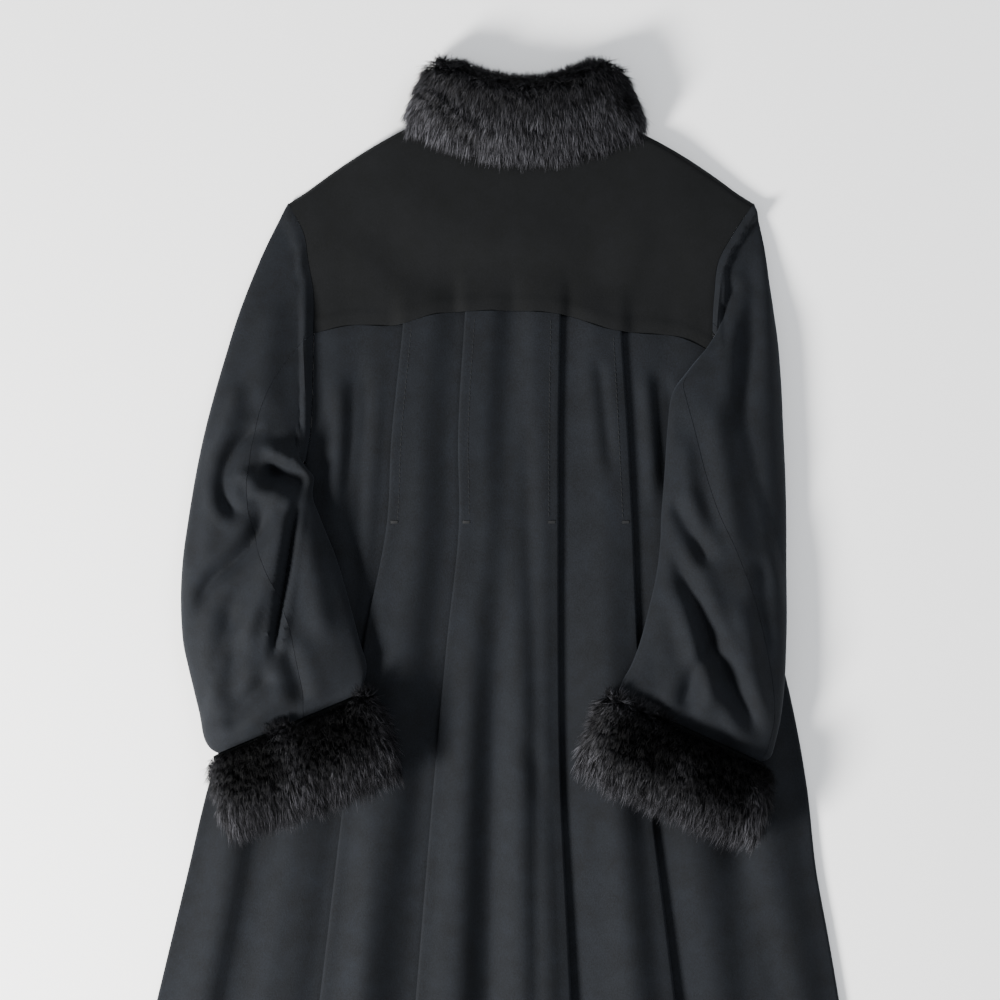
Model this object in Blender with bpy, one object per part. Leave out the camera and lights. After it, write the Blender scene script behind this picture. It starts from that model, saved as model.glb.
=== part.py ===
"""Long wool coat with a fur stand collar and fur cuffs, laid flat and face down.

Plan sizes are millimetres on the laying table: "across" runs to the right of the laying line, and "down" runs
from the head line, a straight line 54 mm above the collar, towards the hem. Heights are above the table.
"""

import math

import bmesh
import bpy
import numpy as np

MM = 0.001

# The plan point that becomes the part's origin, in the middle of the laid coat
MIDDLE_ACROSS = -15.0
MIDDLE_DOWN = 684.0

# Cloth, seams and layers
WALL = 2.0
SEAM = 0.3
LAYER_GAP = 0.6
LAP = 2.3
ARMHOLE_GAP = 0.75
SLEEVE_SEAM_GAP = 0.6
HEAD_SEAM_EASE = 0.5

# Heights of the middle of the cloth where it lies flat, and round the neck, where the collar lifts it
FRONT_LEVEL = WALL / 2
BACK_LEVEL = 6.0
NECK_FRONT_LEVEL = 9.0
NECK_BACK_LEVEL = 14.0
PAD_RISE = 5.0
PAD_RADIUS = 58.0
PAD_ACROSS = (-172.0, 208.0)
PAD_DOWN = 222.0

# Neck, worked from its middle and half width
NECK_ACROSS = 25.0
NECK_HALF = 103.5
BACK_NECK_DOWN = 150.0
FRONT_NECK_DOWN = 205.0
NECK_POINT_DOWN = 123.0
NECK_TILT = 3.0
NECK_CELLS = 12

# The neck's plan oval, by which distances from it are measured, and how far its lift reaches on each layer
NECK_OVAL_MIDDLE = 128.0
NECK_OVAL_ACROSS = 125.0
NECK_OVAL_DOWN = 100.0
BACK_LIFT_REACH = (1.05, 1.8)
FRONT_LIFT_REACH = (1.0, 1.5)
LAP_LIFT_REACH = (1.0, 1.9)

# Shoulder tips and the ends of the armholes, as they lie
TIP_DOWN = 204.0
UNDERARM_DOWN = {"left": 460.0, "right": 330.0}
OUTWARD = {"left": -1.0, "right": 1.0}

# Hem and the laps of the two fronts at the centre front
HEM_DOWN = 1314.5
HEM_RISE = 26.0
LAP_CELLS = 3
LAP_EASE = 5.0
LAP_RISE_CELLS = 2
CENTRE_HEM_ACROSS = -15.0

# Tucks: fold step from layer to layer, depth of the underlay, and where their stitching ends
TACK_DOWN = 521.0
TUCK_STEP = 2.8
TUCK_STEP_HEM = 5.0
TUCK_OPENS = (760.0, 1200.0)
TUCK_DEPTH = 20.0
TUCK_DEPTH_HEM = 42.0

# Soft rounds of the skirt between its tucks: their height above the tacks and below, and where they grow
SWELL_TOP = 1.0
SWELL_FULL = 9.0
SWELL_GROWS = (430.0, 800.0)

# Fur pile on the top, at the sides and squashed underneath
PILE_TOP = 24.0
PILE_SIDE = 16.0
PILE_UNDER = 10.0
COLLAR_OVERHANG = 24.0
COLLAR_TAPER = 0.22

COAT_BLACK = (0.016, 0.017, 0.020, 1.0)
FUR_BLACK = (0.006, 0.006, 0.007, 1.0)
CLOTH_ROUGHNESS = 0.85
FUR_ROUGHNESS = 0.6


def table(names, *rows):
    """A table with named columns."""
    return {name: np.array(column, float) for name, column in zip(names.split(), zip(*rows))}


# The body's two edges, down the armholes and then the side seams
EDGE = table(
    "down left right",
    (204, -211, 253),
    (234, -196, 233),
    (260, -192, 219),
    (290, -187, 215),
    (334, -187, 213),
    (384, -188, 215),
    (430, -190, 219),
    (460, -195, 224),
    (520, -213, 241),
    (600, -237, 263),
    (668, -257, 284),
    (736, -277, 299),
    (790, -293, 308),
    (880, -314, 318),
    (948, -330, 330),
    (1315, -414, 384),
)

# The shaped seam under the yoke, level over the middle and lower at each side
YOKE_SEAM = table(
    "across down",
    (-187, 333),
    (-150, 325),
    (-105, 325),
    (-65, 314),
    (-25, 311),
    (25, 311),
    (70, 316),
    (105, 328),
    (140, 333),
    (180, 337),
    (214, 352),
)

# Where the yoke seam meets the armholes
YOKE_END = {"left": 333.0, "right": 352.0}

# Fold edges of the four tucks from the yoke seam to the hem
TUCKS = table(
    "down outer_left inner_left inner_right outer_right",
    (311, -96, -34, 60, 121),
    (440, -108, -41, 58, 128),
    (521, -112, -40, 58, 132),
    (640, -135, -52, 58, 137),
    (780, -153, -65, 60, 148),
    (948, -173, -79, 68, 168),
    (1315, -217, -109, 85, 212),
)

# Sleeve sections: the ends of each, its crown over what it lies on, its lift, and where the back seam crosses
SLEEVE = {
    "left": table(
        "outer_across outer_down inner_across inner_down crown lift seam",
        (-213, 204, -195, 460, 5, 0, 0.50),
        (-238, 255, -200, 464, 12, 0, 0.46),
        (-260, 310, -199, 468, 17, 0, 0.43),
        (-275, 358, -192, 472, 20, 0, 0.42),
        (-287, 400, -187, 477, 23, 0, 0.43),
        (-297, 440, -187, 483, 26, 0, 0.44),
        (-305, 480, -188, 491, 28, 0, 0.46),
        (-312, 523, -187, 501, 30, 0, 0.50),
        (-317, 560, -182, 514, 31, 0, 0.54),
        (-319, 600, -175, 532, 31, 0, 0.58),
        (-317, 640, -165, 557, 30, 0, 0.62),
        (-312, 665, -157, 582, 29, 0, 0.64),
        (-306, 690, -149, 611, 28, 0, 0.64),
        (-300, 715, -141, 640, 27, 0, 0.63),
        (-295, 737, -134, 664, 26, 0, 0.62),
        (-288, 747, -136, 680, 16, 4, 0.61),
        (-279, 751, -139, 692, 5.5, 10, 0.60),
    ),
    "right": table(
        "outer_across outer_down inner_across inner_down crown lift seam",
        (255, 204, 213, 330, 5, 0, 0.6),
        (260, 225, 218, 338, 7, 0, 0.61),
        (265, 250, 213, 347, 11, 0, 0.64),
        (269, 280, 198, 360, 17, 0, 0.7),
        (274, 315, 185, 376, 21, 0, 0.76),
        (278, 345, 176, 388, 24, 0, 0.8),
        (281, 385, 171, 402, 26, 0, 0.81),
        (283, 430, 168, 430, 27, 0, 0.75),
        (285, 475, 165, 475, 28, 0, 0.66),
        (286, 520, 162, 516, 29, 0, 0.53),
        (286, 560, 161, 543, 30, 0, 0.40),
        (286, 600, 157, 575, 30, 0, 0.28),
        (285, 640, 150, 606, 30, 0, 0.18),
        (283, 680, 141, 640, 29, 0, 0.10),
        (279, 715, 132, 664, 28, 0, 0.05),
        (273, 742, 124, 678, 26, 0, 0.04),
        (268, 755, 120, 687, 16, 4, 0.04),
        (258, 759, 118, 695, 5.5, 10, 0.05),
    ),
}

# Creases of the sleeves, each a path with a half width and a depth, and hollows are below zero
CREASES = {
    "left": (
        ("elbow pocket", ((-252, 462), (-225, 472), (-203, 478)), 12, -18),
        ("over the elbow", ((-231, 425), (-272, 452), (-286, 497)), 10, -6),
        ("elbow band", ((-233, 501), (-240, 528), (-262, 556), (-290, 568), (-310, 612)), 11, -9),
        ("forearm ridge", ((-204, 488), (-229, 533), (-255, 599), (-297, 642)), 14, 6),
        ("long slit", ((-201, 497), (-210, 533), (-213, 576), (-222, 655)), 9, -10),
        ("above the cuff", ((-276, 725), (-244, 693), (-227, 672)), 10, -5),
    ),
    "right": (
        ("armhole fold", ((239, 280), (219, 325), (205, 346)), 9, -4),
        ("upper arm", ((255, 248), (251, 316), (244, 384), (235, 441)), 12, -4),
        ("inner elbow", ((168, 499), (206, 566)), 9, -7),
        ("forearm fold", ((168, 541), (203, 634), (264, 746)), 10, -9),
    ),
}

# Fur outlines of the cuffs, from the sleeve's end to the tips, with the height of the pile over the skirt
CUFF = {
    "left": table(
        "outer_across outer_down inner_across inner_down height",
        (-291, 758, -124, 690, 28),
        (-290, 768, -118, 700, 38),
        (-284, 790, -108, 722, 43),
        (-274, 822, -100, 757, 43),
        (-264, 846, -96, 786, 34),
    ),
    "right": table(
        "outer_across outer_down inner_across inner_down height",
        (271, 769, 102, 692, 28),
        (272, 780, 92, 702, 38),
        (268, 806, 82, 730, 43),
        (260, 830, 77, 752, 43),
        (244, 852, 76, 776, 34),
    ),
}
CUFF_OPENING = {"left": (-262, 815, -114, 762), "right": (247, 828, 92, 758)}
CUFF_BULGE = 14.0

# The cuffs' section: radius of its ends, how square it is, how much it bridges what it lies on, half its loop's
# opening, and the lift of the pile's first and last rows
CUFF_ROUND = 12.0
CUFF_SQUARENESS = 0.6
CUFF_STEADY = 0.6
CUFF_LOOP_HALF = 1.75
CUFF_TIP_LIFT = (4.0, 3.0)


def between(low, high, value):
    """Smooth step from 0 at low to 1 at high."""
    t = np.clip((np.asarray(value, float) - low) / (high - low), 0.0, 1.0)
    return t * t * (3.0 - 2.0 * t)


def through(keys, values, at):
    """Smooth curve through the rows of a table, read at one or many places."""
    at = np.asarray(at, float)
    slopes = np.gradient(values, keys)
    row = np.clip(np.searchsorted(keys, at, side="right") - 1, 0, len(keys) - 2)
    span = keys[row + 1] - keys[row]
    t = (at - keys[row]) / span
    start = (1 + 2 * t) * (1 - t) ** 2 * values[row] + t * (1 - t) ** 2 * span * slopes[row]
    end = t * t * (3 - 2 * t) * values[row + 1] - t * t * (1 - t) * span * slopes[row + 1]
    return start + end


def edge(side, down):
    return through(EDGE["down"], EDGE[side], down)


def yoke_seam(across):
    return through(YOKE_SEAM["across"], YOKE_SEAM["down"], across)


def back_neck(across):
    u = (across - NECK_ACROSS) / NECK_HALF
    return BACK_NECK_DOWN - (BACK_NECK_DOWN - NECK_POINT_DOWN) * u * u + NECK_TILT * u


def front_neck(across):
    u = (across - NECK_ACROSS) / NECK_HALF
    return FRONT_NECK_DOWN - (FRONT_NECK_DOWN - NECK_POINT_DOWN) * u * u + NECK_TILT * u


def neck_gap(neck, across):
    """How far down the table a neck seam opens, so that it opens by SEAM square to its run."""
    slope = (neck(across + 0.5) - neck(across - 0.5))
    return SEAM * np.hypot(1.0, slope) + 0.12 * abs(slope)


def neck_distance(across, down):
    return np.hypot((across - NECK_ACROSS) / NECK_OVAL_ACROSS, (down - NECK_OVAL_MIDDLE) / NECK_OVAL_DOWN)


def back_level(across, down):
    """Height of the back's middle, without its tucks: lifted at the neck and over the shoulder pads."""
    lifted = 1 - between(*BACK_LIFT_REACH, neck_distance(across, down))
    level = BACK_LEVEL + (NECK_BACK_LEVEL - BACK_LEVEL) * lifted
    for pad_across in PAD_ACROSS:
        reach = ((across - pad_across) ** 2 + (down - PAD_DOWN) ** 2) / PAD_RADIUS**2
        level = level + PAD_RISE * np.exp(-reach)
    return level


def front_level(across, down):
    lifted = 1 - between(*FRONT_LIFT_REACH, neck_distance(across, down))
    return FRONT_LEVEL + (NECK_FRONT_LEVEL - FRONT_LEVEL) * lifted


def roll_drop(distance, radius):
    """How far a rolled edge has dropped at a distance inside it."""
    inside = np.clip(1 - np.asarray(distance, float) / radius, 0.0, 1.0)
    return radius * (1 - np.sqrt(1 - inside * inside))


def unit(vectors):
    return vectors / np.maximum(np.linalg.norm(vectors, axis=-1, keepdims=True), 1e-9)


def surface_normals(points, wrap):
    """Unit normals of a grid of points, whose columns close on themselves where wrap is set."""
    down = np.gradient(points, axis=0)
    if wrap:
        along = np.roll(points, -1, axis=1) - np.roll(points, 1, axis=1)
    else:
        along = np.gradient(points, axis=1)
    return unit(np.cross(along, down))


def square(normals, crossing):
    """Edge normals without their part along the direction that crosses the seam, so that edges face squarely."""
    crossing = unit(np.asarray(crossing, float))
    return unit(normals - np.sum(normals * crossing, axis=-1, keepdims=True) * crossing)


def make_piece(name, points, faces, colour, roughness):
    """One closed mesh object from plan points, in metres round the part's origin, with its own material."""
    world = np.column_stack(
        [(points[:, 0] - MIDDLE_ACROSS) * MM, (MIDDLE_DOWN - points[:, 1]) * MM, points[:, 2] * MM]
    )
    mesh = bpy.data.meshes.new(name)
    mesh.from_pydata(world.tolist(), [], faces)
    shape = bmesh.new()
    shape.from_mesh(mesh)
    bmesh.ops.recalc_face_normals(shape, faces=shape.faces[:])
    if shape.calc_volume(signed=True) < 0:
        bmesh.ops.reverse_faces(shape, faces=shape.faces[:])
    shape.to_mesh(mesh)
    shape.free()
    mesh.shade_smooth()
    mesh.set_sharp_from_angle(angle=math.radians(50))
    piece = bpy.data.objects.new(name, mesh)
    bpy.context.scene.collection.objects.link(piece)
    material = bpy.data.materials.new(name)
    material.use_nodes = True
    shader = material.node_tree.nodes["Principled BSDF"]
    shader.inputs["Base Color"].default_value = colour
    shader.inputs["Roughness"].default_value = roughness
    shader.inputs["Metallic"].default_value = 0.0
    mesh.materials.append(material)


def solid(name, outer, inner, wrap, colour, roughness):
    """One closed solid between two grids of plan points, joined all round their open edges."""
    rows, columns = outer.shape[:2]
    inside = rows * columns
    faces = []
    last = columns if wrap else columns - 1
    for row in range(rows - 1):
        for column in range(last):
            a = row * columns + column
            b = row * columns + (column + 1) % columns
            faces.append((a, b, b + columns, a + columns))
            faces.append((inside + a + columns, inside + b + columns, inside + b, inside + a))
    for row in (0, rows - 1):
        for column in range(last):
            a = row * columns + column
            b = row * columns + (column + 1) % columns
            faces.append((b, a, inside + a, inside + b))
    if not wrap:
        for column in (0, columns - 1):
            for row in range(rows - 1):
                a = row * columns + column
                faces.append((a, a + columns, inside + a + columns, inside + a))
    points = np.concatenate([outer.reshape(-1, 3), inner.reshape(-1, 3)])
    make_piece(name, points, faces, colour, roughness)


def swept(name, loops, colour, roughness):
    """One closed solid through a run of closed loops, with a flat end at each end of the run."""
    rows, count = loops.shape[:2]
    faces = [tuple(range(count)), tuple(range((rows - 1) * count, rows * count))]
    for row in range(rows - 1):
        for point in range(count):
            a = row * count + point
            b = row * count + (point + 1) % count
            faces.append((a, b, b + count, a + count))
    make_piece(name, loops.reshape(-1, 3), faces, colour, roughness)


def cloth(name, middle, normals):
    """A wall of wool cloth on both sides of its middle surface."""
    half = normals * (WALL / 2)
    solid(name, middle + half, middle - half, False, COAT_BLACK, CLOTH_ROUGHNESS)


def fractions(points):
    steps = np.linalg.norm(np.diff(points, axis=0), axis=1)
    return np.concatenate([[0.0], np.cumsum(steps)]) / steps.sum()


def patch(top, bottom, left, right):
    """Plan points between four edge curves: top and bottom run to the right, left and right run down."""
    u = ((fractions(top) + fractions(bottom)) / 2)[None, :, None]
    v = ((fractions(left) + fractions(right)) / 2)[:, None, None]
    rows = (1 - v) * top[None] + v * bottom[None]
    columns = (1 - u) * left[:, None] + u * right[:, None]
    corners = (1 - u) * ((1 - v) * top[0] + v * bottom[0]) + u * ((1 - v) * top[-1] + v * bottom[-1])
    return rows + columns - corners


def shoulder(side, count):
    """Plan points of a shoulder seam from its tip to just before the neck point, slightly crowned."""
    tip = np.array([edge(side, TIP_DOWN), TIP_DOWN])
    neck_across = NECK_ACROSS + OUTWARD[side] * NECK_HALF
    neck = np.array([neck_across, back_neck(neck_across)])
    t = np.linspace(0, 1, count, endpoint=False)[:, None]
    crown = np.array([OUTWARD[side] * 3.0, -4.0]) * np.sin(math.pi * t)
    inset = np.array([0.0, WALL * 0.8]) * np.minimum(1.0, 6 * t)
    return tip + (neck - tip) * t + crown + inset


def neck_samples(first, last):
    step = 2 * NECK_HALF / NECK_CELLS
    return NECK_ACROSS - NECK_HALF + step * np.arange(first, last + 1)


def edge_points(side, downs):
    return np.column_stack([edge(side, downs), downs])


def seam_crossing(side, downs):
    """Level direction that crosses the armhole at each place down it, away from the body."""
    slope = edge(side, downs + 1.0) - edge(side, downs - 1.0)
    crossing = np.column_stack([np.full(len(downs), 2.0), -slope, np.zeros(len(downs))])
    return unit(crossing) * OUTWARD[side]


# Rows of the yoke, as shares of its depth: close together where the armhole curves
YOKE_ROWS = np.array([0, 0.012, 0.04, 0.09, 0.16, 0.24, 0.33, 0.44, 0.57, 0.73, 0.88, 1.0])
SHOULDER_CELLS = 8


def tuck_lift(across, down):
    """How far the stacked tucks lift the cloth that lies over them, just inside each fold edge."""
    step = TUCK_STEP + (TUCK_STEP_HEM - TUCK_STEP) * between(*TUCK_OPENS, down)
    depth = TUCK_DEPTH + (TUCK_DEPTH_HEM - TUCK_DEPTH) * between(TACK_DOWN, HEM_DOWN, down)
    lift = np.zeros(np.broadcast(across, down).shape)
    for name, facing in (("outer_left", -1), ("inner_left", -1), ("inner_right", 1), ("outer_right", 1)):
        inside = (across - through(TUCKS["down"], TUCKS[name], down)) * -facing
        over = between(-3, 0, inside) * (1 - between(depth + 3, depth + 40, inside))
        lift = np.maximum(lift, 2 * step * over)
    return lift


def build_yoke():
    neck_across = neck_samples(0, NECK_CELLS)
    neckline = np.column_stack([neck_across, back_neck(neck_across)])
    left_shoulder, right_shoulder = (shoulder(side, SHOULDER_CELLS) for side in ("left", "right"))
    top = np.concatenate([left_shoulder, neckline, right_shoulder[::-1]])
    share = fractions(top)
    bottom_across = edge("left", YOKE_END["left"]) * (1 - share) + edge("right", YOKE_END["right"]) * share
    bottom = np.column_stack([bottom_across, yoke_seam(bottom_across) - SEAM])
    sides = {}
    for side in ("left", "right"):
        downs = TIP_DOWN + (yoke_seam(edge(side, YOKE_END[side])) - SEAM - TIP_DOWN) * YOKE_ROWS
        sides[side] = edge_points(side, downs)
    plan = patch(top, bottom, sides["left"], sides["right"])
    level = back_level(plan[..., 0], plan[..., 1])
    near_seam = between(40, 0, plan[-1, :, 1] - plan[..., 1])
    level = level + near_seam * tuck_lift(plan[..., 0], np.full(level.shape, 320.0))
    on_shoulder = (neck_across[0] > plan[0, :, 0] + 1) | (neck_across[-1] < plan[0, :, 0] - 1)
    radius = (level[0] - front_level(plan[0, :, 0], plan[0, :, 1])) / 2
    inset = np.linalg.norm(plan - plan[0], axis=-1) * 0.8
    level = level - roll_drop(inset, radius) * on_shoulder
    level[0] += np.where(on_shoulder, SEAM / 2, 0.0)
    middle = np.dstack([plan, level])
    normals = surface_normals(middle, False)
    normals[-1] = square(normals[-1], (0, 1, 0))
    normals[0, on_shoulder] = square(normals[0, on_shoulder], (0, 0, 1))
    normals[0, ~on_shoulder] = square(normals[0, ~on_shoulder], (0, 1, 0))
    for column, side in ((0, "left"), (-1, "right")):
        normals[:, column] = square(normals[:, column], seam_crossing(side, plan[:, column, 1]))
    cloth("back_yoke", middle, normals)
    return middle, normals


SKIRT_ROWS = np.array(
    [311, 330, 352, 380, 415, 436, 448, 460, 490, 521, 565, 615, 670, 735, 810, 910, 1060, HEM_DOWN]
)
TURN_ANGLES = np.radians([-90, -30, 30, 90])
ROLL_STEPS = 3


def tuck_section(fold_edge, facing, depth, step, level):
    """One knife tuck as a folded line, from its lower layer to its upper one, for a fold that faces outwards."""
    under = np.column_stack(
        [fold_edge + depth + step / 2 * np.cos(TURN_ANGLES), level + step / 2 + step / 2 * np.sin(TURN_ANGLES)]
    )
    over = np.column_stack(
        [fold_edge + step / 2 - step / 2 * np.cos(TURN_ANGLES), level + 1.5 * step + step / 2 * np.sin(TURN_ANGLES)]
    )
    section = np.concatenate([under, over])
    if facing > 0:
        section[:, 0] = 2 * fold_edge - section[:, 0]
        return section[::-1]
    return section


def side_roll(side, down, level, front):
    """The body's edge: a flat cut along the armhole, and a rolled side seam below it."""
    rolled = between(UNDERARM_DOWN[side] - 12, UNDERARM_DOWN[side] + 14, down)
    radius = (level - front) / 2
    angles = np.linspace(0, math.pi / 2, ROLL_STEPS + 1)
    flat_inset = radius * np.arange(ROLL_STEPS + 1) / ROLL_STEPS
    inset = rolled * (WALL / 2 + radius * (1 - np.cos(angles))) + (1 - rolled) * flat_inset
    drop = rolled * (radius * (1 - np.sin(angles)))
    drop[0] -= rolled * SEAM / 2
    return inset, drop


def skirt_section(down):
    """The back at one level below the yoke, from its left edge to its right one, as across and height."""
    step = float(TUCK_STEP + (TUCK_STEP_HEM - TUCK_STEP) * between(*TUCK_OPENS, down))
    depth = float(TUCK_DEPTH + (TUCK_DEPTH_HEM - TUCK_DEPTH) * between(TACK_DOWN, HEM_DOWN, down))
    swell = float(SWELL_TOP + (SWELL_FULL - SWELL_TOP) * between(*SWELL_GROWS, down))
    folds = {name: float(through(TUCKS["down"], TUCKS[name], down)) for name in TUCKS if name != "down"}
    left, right = float(edge("left", down)), float(edge("right", down))
    left_level = float(back_level(left, down))
    right_level = float(back_level(right, down))
    left_inset, left_drop = side_roll("left", down, left_level, FRONT_LEVEL)
    right_inset, right_drop = side_roll("right", down, right_level, FRONT_LEVEL)
    parts = [np.column_stack([left + left_inset, left_level - left_drop])]

    def flat(start, end, cells, start_lift, end_lift, bumps, shown_start, shown_end):
        """A stretch between two tucks: lifted where it lies over their folds, with soft swells between."""
        across = np.linspace(start, end, cells + 2)[1:-1]
        reach = (shown_end - shown_start) * (0.48 if start_lift and end_lift else 0.94)
        lift = start_lift * (1 - between(depth + 2, max(reach, depth + 12), across - start))
        lift = lift + end_lift * (1 - between(depth + 2, max(reach, depth + 12), end - across))
        share = np.clip((across - shown_start) / (shown_end - shown_start), 0, 1)
        height = back_level(across, down) + lift + swell * np.sin(math.pi * bumps * share) ** 2
        return np.column_stack([across, height])

    top = 2 * step
    ol, il, ir, orr = (folds[name] for name in ("outer_left", "inner_left", "inner_right", "outer_right"))
    edge_in = left + left_inset[-1]
    parts.append(flat(edge_in, ol + depth, 7, 0, 0, 2, edge_in, ol - 5))
    parts.append(tuck_section(ol, -1, depth, step, float(back_level(ol, down))))
    parts.append(flat(ol + step / 2, il + depth, 5, top, 0, 1, ol, il - 5))
    parts.append(tuck_section(il, -1, depth, step, float(back_level(il, down))))
    parts.append(flat(il + step / 2, ir - step / 2, 7, top, top, 2, il, ir))
    parts.append(tuck_section(ir, 1, depth, step, float(back_level(ir, down))))
    parts.append(flat(ir - depth, orr - step / 2, 5, 0, top, 1, ir + 5, orr))
    parts.append(tuck_section(orr, 1, depth, step, float(back_level(orr, down))))
    edge_out = right - right_inset[-1]
    parts.append(flat(orr - depth, edge_out, 7, 0, 0, 2, orr + 5, edge_out))
    parts.append(np.column_stack([right - right_inset, right_level - right_drop])[::-1])
    return np.concatenate(parts)


def build_skirt():
    sections = np.array([skirt_section(down) for down in SKIRT_ROWS])
    middle = np.empty(sections.shape[:2] + (3,))
    middle[..., 0] = sections[..., 0]
    middle[..., 2] = sections[..., 1]
    share = (SKIRT_ROWS - SKIRT_ROWS[0]) / (SKIRT_ROWS[-1] - SKIRT_ROWS[0])
    near_top = (1 - between(0.0, 0.16, share))[:, None]
    half_hem = (EDGE["right"][-1] - EDGE["left"][-1]) / 2
    hem_rise = HEM_RISE * ((sections[..., 0] - CENTRE_HEM_ACROSS) / half_hem) ** 2 * share[:, None] ** 2
    seam_fall = (yoke_seam(sections[..., 0]) - SKIRT_ROWS[0]) * near_top
    middle[..., 1] = SKIRT_ROWS[:, None] + seam_fall - hem_rise
    normals = surface_normals(middle, False)
    normals[0] = square(normals[0], (0, 1, 0))
    for column, side in ((0, "left"), (-1, "right")):
        rolled = between(UNDERARM_DOWN[side] - 12, UNDERARM_DOWN[side] + 14, SKIRT_ROWS)[:, None]
        crossing = rolled * np.array([0, 0, 1.0]) + (1 - rolled) * seam_crossing(side, middle[:, column, 1])
        normals[:, column] = square(normals[:, column], crossing)
    cloth("back_skirt", middle, normals)
    return middle, normals


FRONT_ROWS = np.array(
    [204, 206, 210, 218, 229, 241, 254, 268, 284, 305, 330, 375, 420, 436, 448, 460, 520, 590, 668]
    + [760, 860, 970, 1080, 1190, 1314.5]
)


def build_front(side):
    """One front: outer edge along the armhole and side seam, inner edge lapped past the centre front."""
    lapped_over = side == "left"
    middle_cell = NECK_CELLS // 2
    if side == "left":
        neck_across = neck_samples(0, middle_cell + LAP_CELLS)
    else:
        neck_across = neck_samples(middle_cell - LAP_CELLS, NECK_CELLS)[::-1]
    neckline = np.column_stack([neck_across, front_neck(neck_across)])
    top = np.concatenate([shoulder(side, SHOULDER_CELLS), neckline])
    outer = edge_points(side, FRONT_ROWS)
    shift = neck_across[-1] - NECK_ACROSS
    inner_down = front_neck(neck_across[-1]) + (HEM_DOWN - front_neck(neck_across[-1])) * fractions(outer)
    centre_share = (inner_down - inner_down[0]) / (HEM_DOWN - inner_down[0])
    inner_across = NECK_ACROSS + (CENTRE_HEM_ACROSS - NECK_ACROSS) * centre_share + shift
    inner = np.column_stack([inner_across, inner_down])
    share = fractions(top)
    hem_across = outer[-1, 0] * (1 - share) + inner[-1, 0] * share
    half_hem = (EDGE["right"][-1] - EDGE["left"][-1]) / 2
    hem_down = HEM_DOWN - HEM_RISE * ((hem_across - CENTRE_HEM_ACROSS) / half_hem) ** 2
    outer[:, 1] -= (HEM_DOWN - hem_down[0]) * between(840, HEM_DOWN, FRONT_ROWS)
    hem = np.column_stack([hem_across, hem_down])
    plan = patch(top, hem, outer, inner)
    level = front_level(plan[..., 0], plan[..., 1])
    if lapped_over:
        rising = between(*LAP_LIFT_REACH, neck_distance(plan[..., 0], plan[..., 1]))
        lap = LAP + LAP_EASE * rising * (1 - rising)
        first_lapped = SHOULDER_CELLS + middle_cell - LAP_CELLS - 1
        climbed = (np.arange(plan.shape[1]) - first_lapped) / LAP_RISE_CELLS + 1
        level = level + lap * np.clip(climbed, 0.0, 1.0)
    on_shoulder = np.abs(plan[0, :, 0] - NECK_ACROSS) > NECK_HALF + 1
    shoulder_radius = (back_level(plan[0, :, 0], plan[0, :, 1]) - level[0]) / 2
    inset = np.linalg.norm(plan - plan[0], axis=-1) * 0.8
    level = level + roll_drop(inset, shoulder_radius) * on_shoulder
    level[0] -= np.where(on_shoulder, SEAM / 2, 0.0)
    rolled = between(UNDERARM_DOWN[side] - 12, UNDERARM_DOWN[side] + 14, plan[:, 0, 1])
    radius = (BACK_LEVEL - FRONT_LEVEL) / 2
    for column, angle in enumerate(np.linspace(0, math.pi / 2, ROLL_STEPS + 1)):
        rise = rolled * radius * (1 - math.sin(angle))
        from_edge = OUTWARD[side] * (WALL / 2 + radius * (1 - math.cos(angle)))
        on_edge = plan[:, 0, 0] - plan[:, column, 0] if column > 0 else 0.0
        plan[:, column, 0] += rolled * (on_edge - from_edge)
        level[:, column] += rise - (rolled * SEAM / 2 if column == 0 else 0)
    middle = np.dstack([plan, level])
    normals = surface_normals(middle, False)
    normals[0, on_shoulder] = square(normals[0, on_shoulder], (0, 0, 1))
    normals[0, ~on_shoulder] = square(normals[0, ~on_shoulder], (0, 1, 0))
    upright = rolled[:, None] * np.array([0, 0, 1.0])
    crossing = upright + (1 - rolled[:, None]) * seam_crossing(side, plan[:, 0, 1])
    normals[:, 0] = square(normals[:, 0], crossing)
    # The grid is handed on from its inner corner at the hem, so the quads are cut alike on both layers of the lap
    cloth(f"front_{side}", middle[::-1, ::-1], normals[::-1, ::-1])


# A height map of the laid back, on which the sleeves and cuffs rest
MAP_ACROSS = (-440.0, 420.0)
MAP_DOWN = (180.0, 960.0)
MAP_CELL = 4.0


def top_of(surfaces):
    """Highest cloth over each cell of the map, from the outer faces of the given walls."""
    columns = int((MAP_ACROSS[1] - MAP_ACROSS[0]) / MAP_CELL) + 1
    rows = int((MAP_DOWN[1] - MAP_DOWN[0]) / MAP_CELL) + 1
    heights = np.zeros((rows, columns))
    for middle, normals in surfaces:
        for face in (middle + normals * WALL / 2, middle - normals * WALL / 2):
            for s in np.linspace(0, 1, 9):
                for t in np.linspace(0, 1, 5):
                    upper = face[:-1, :-1] * (1 - t) + face[:-1, 1:] * t
                    lower = face[1:, :-1] * (1 - t) + face[1:, 1:] * t
                    spots = (upper * (1 - s) + lower * s).reshape(-1, 3)
                    column = np.round((spots[:, 0] - MAP_ACROSS[0]) / MAP_CELL).astype(int)
                    row = np.round((spots[:, 1] - MAP_DOWN[0]) / MAP_CELL).astype(int)
                    kept = (row >= 0) & (row < rows) & (column >= 0) & (column < columns)
                    np.maximum.at(heights, (row[kept], column[kept]), spots[kept, 2])
    return heights


def spread(heights, reach):
    """The map with each height carried out to its neighbours within reach."""
    cells = int(math.ceil(reach / MAP_CELL))
    result = heights.copy()
    for down in range(-cells, cells + 1):
        for across in range(-cells, cells + 1):
            if down * down + across * across <= cells * cells:
                result = np.maximum(result, np.roll(heights, (down, across), (0, 1)))
    return result


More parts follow.
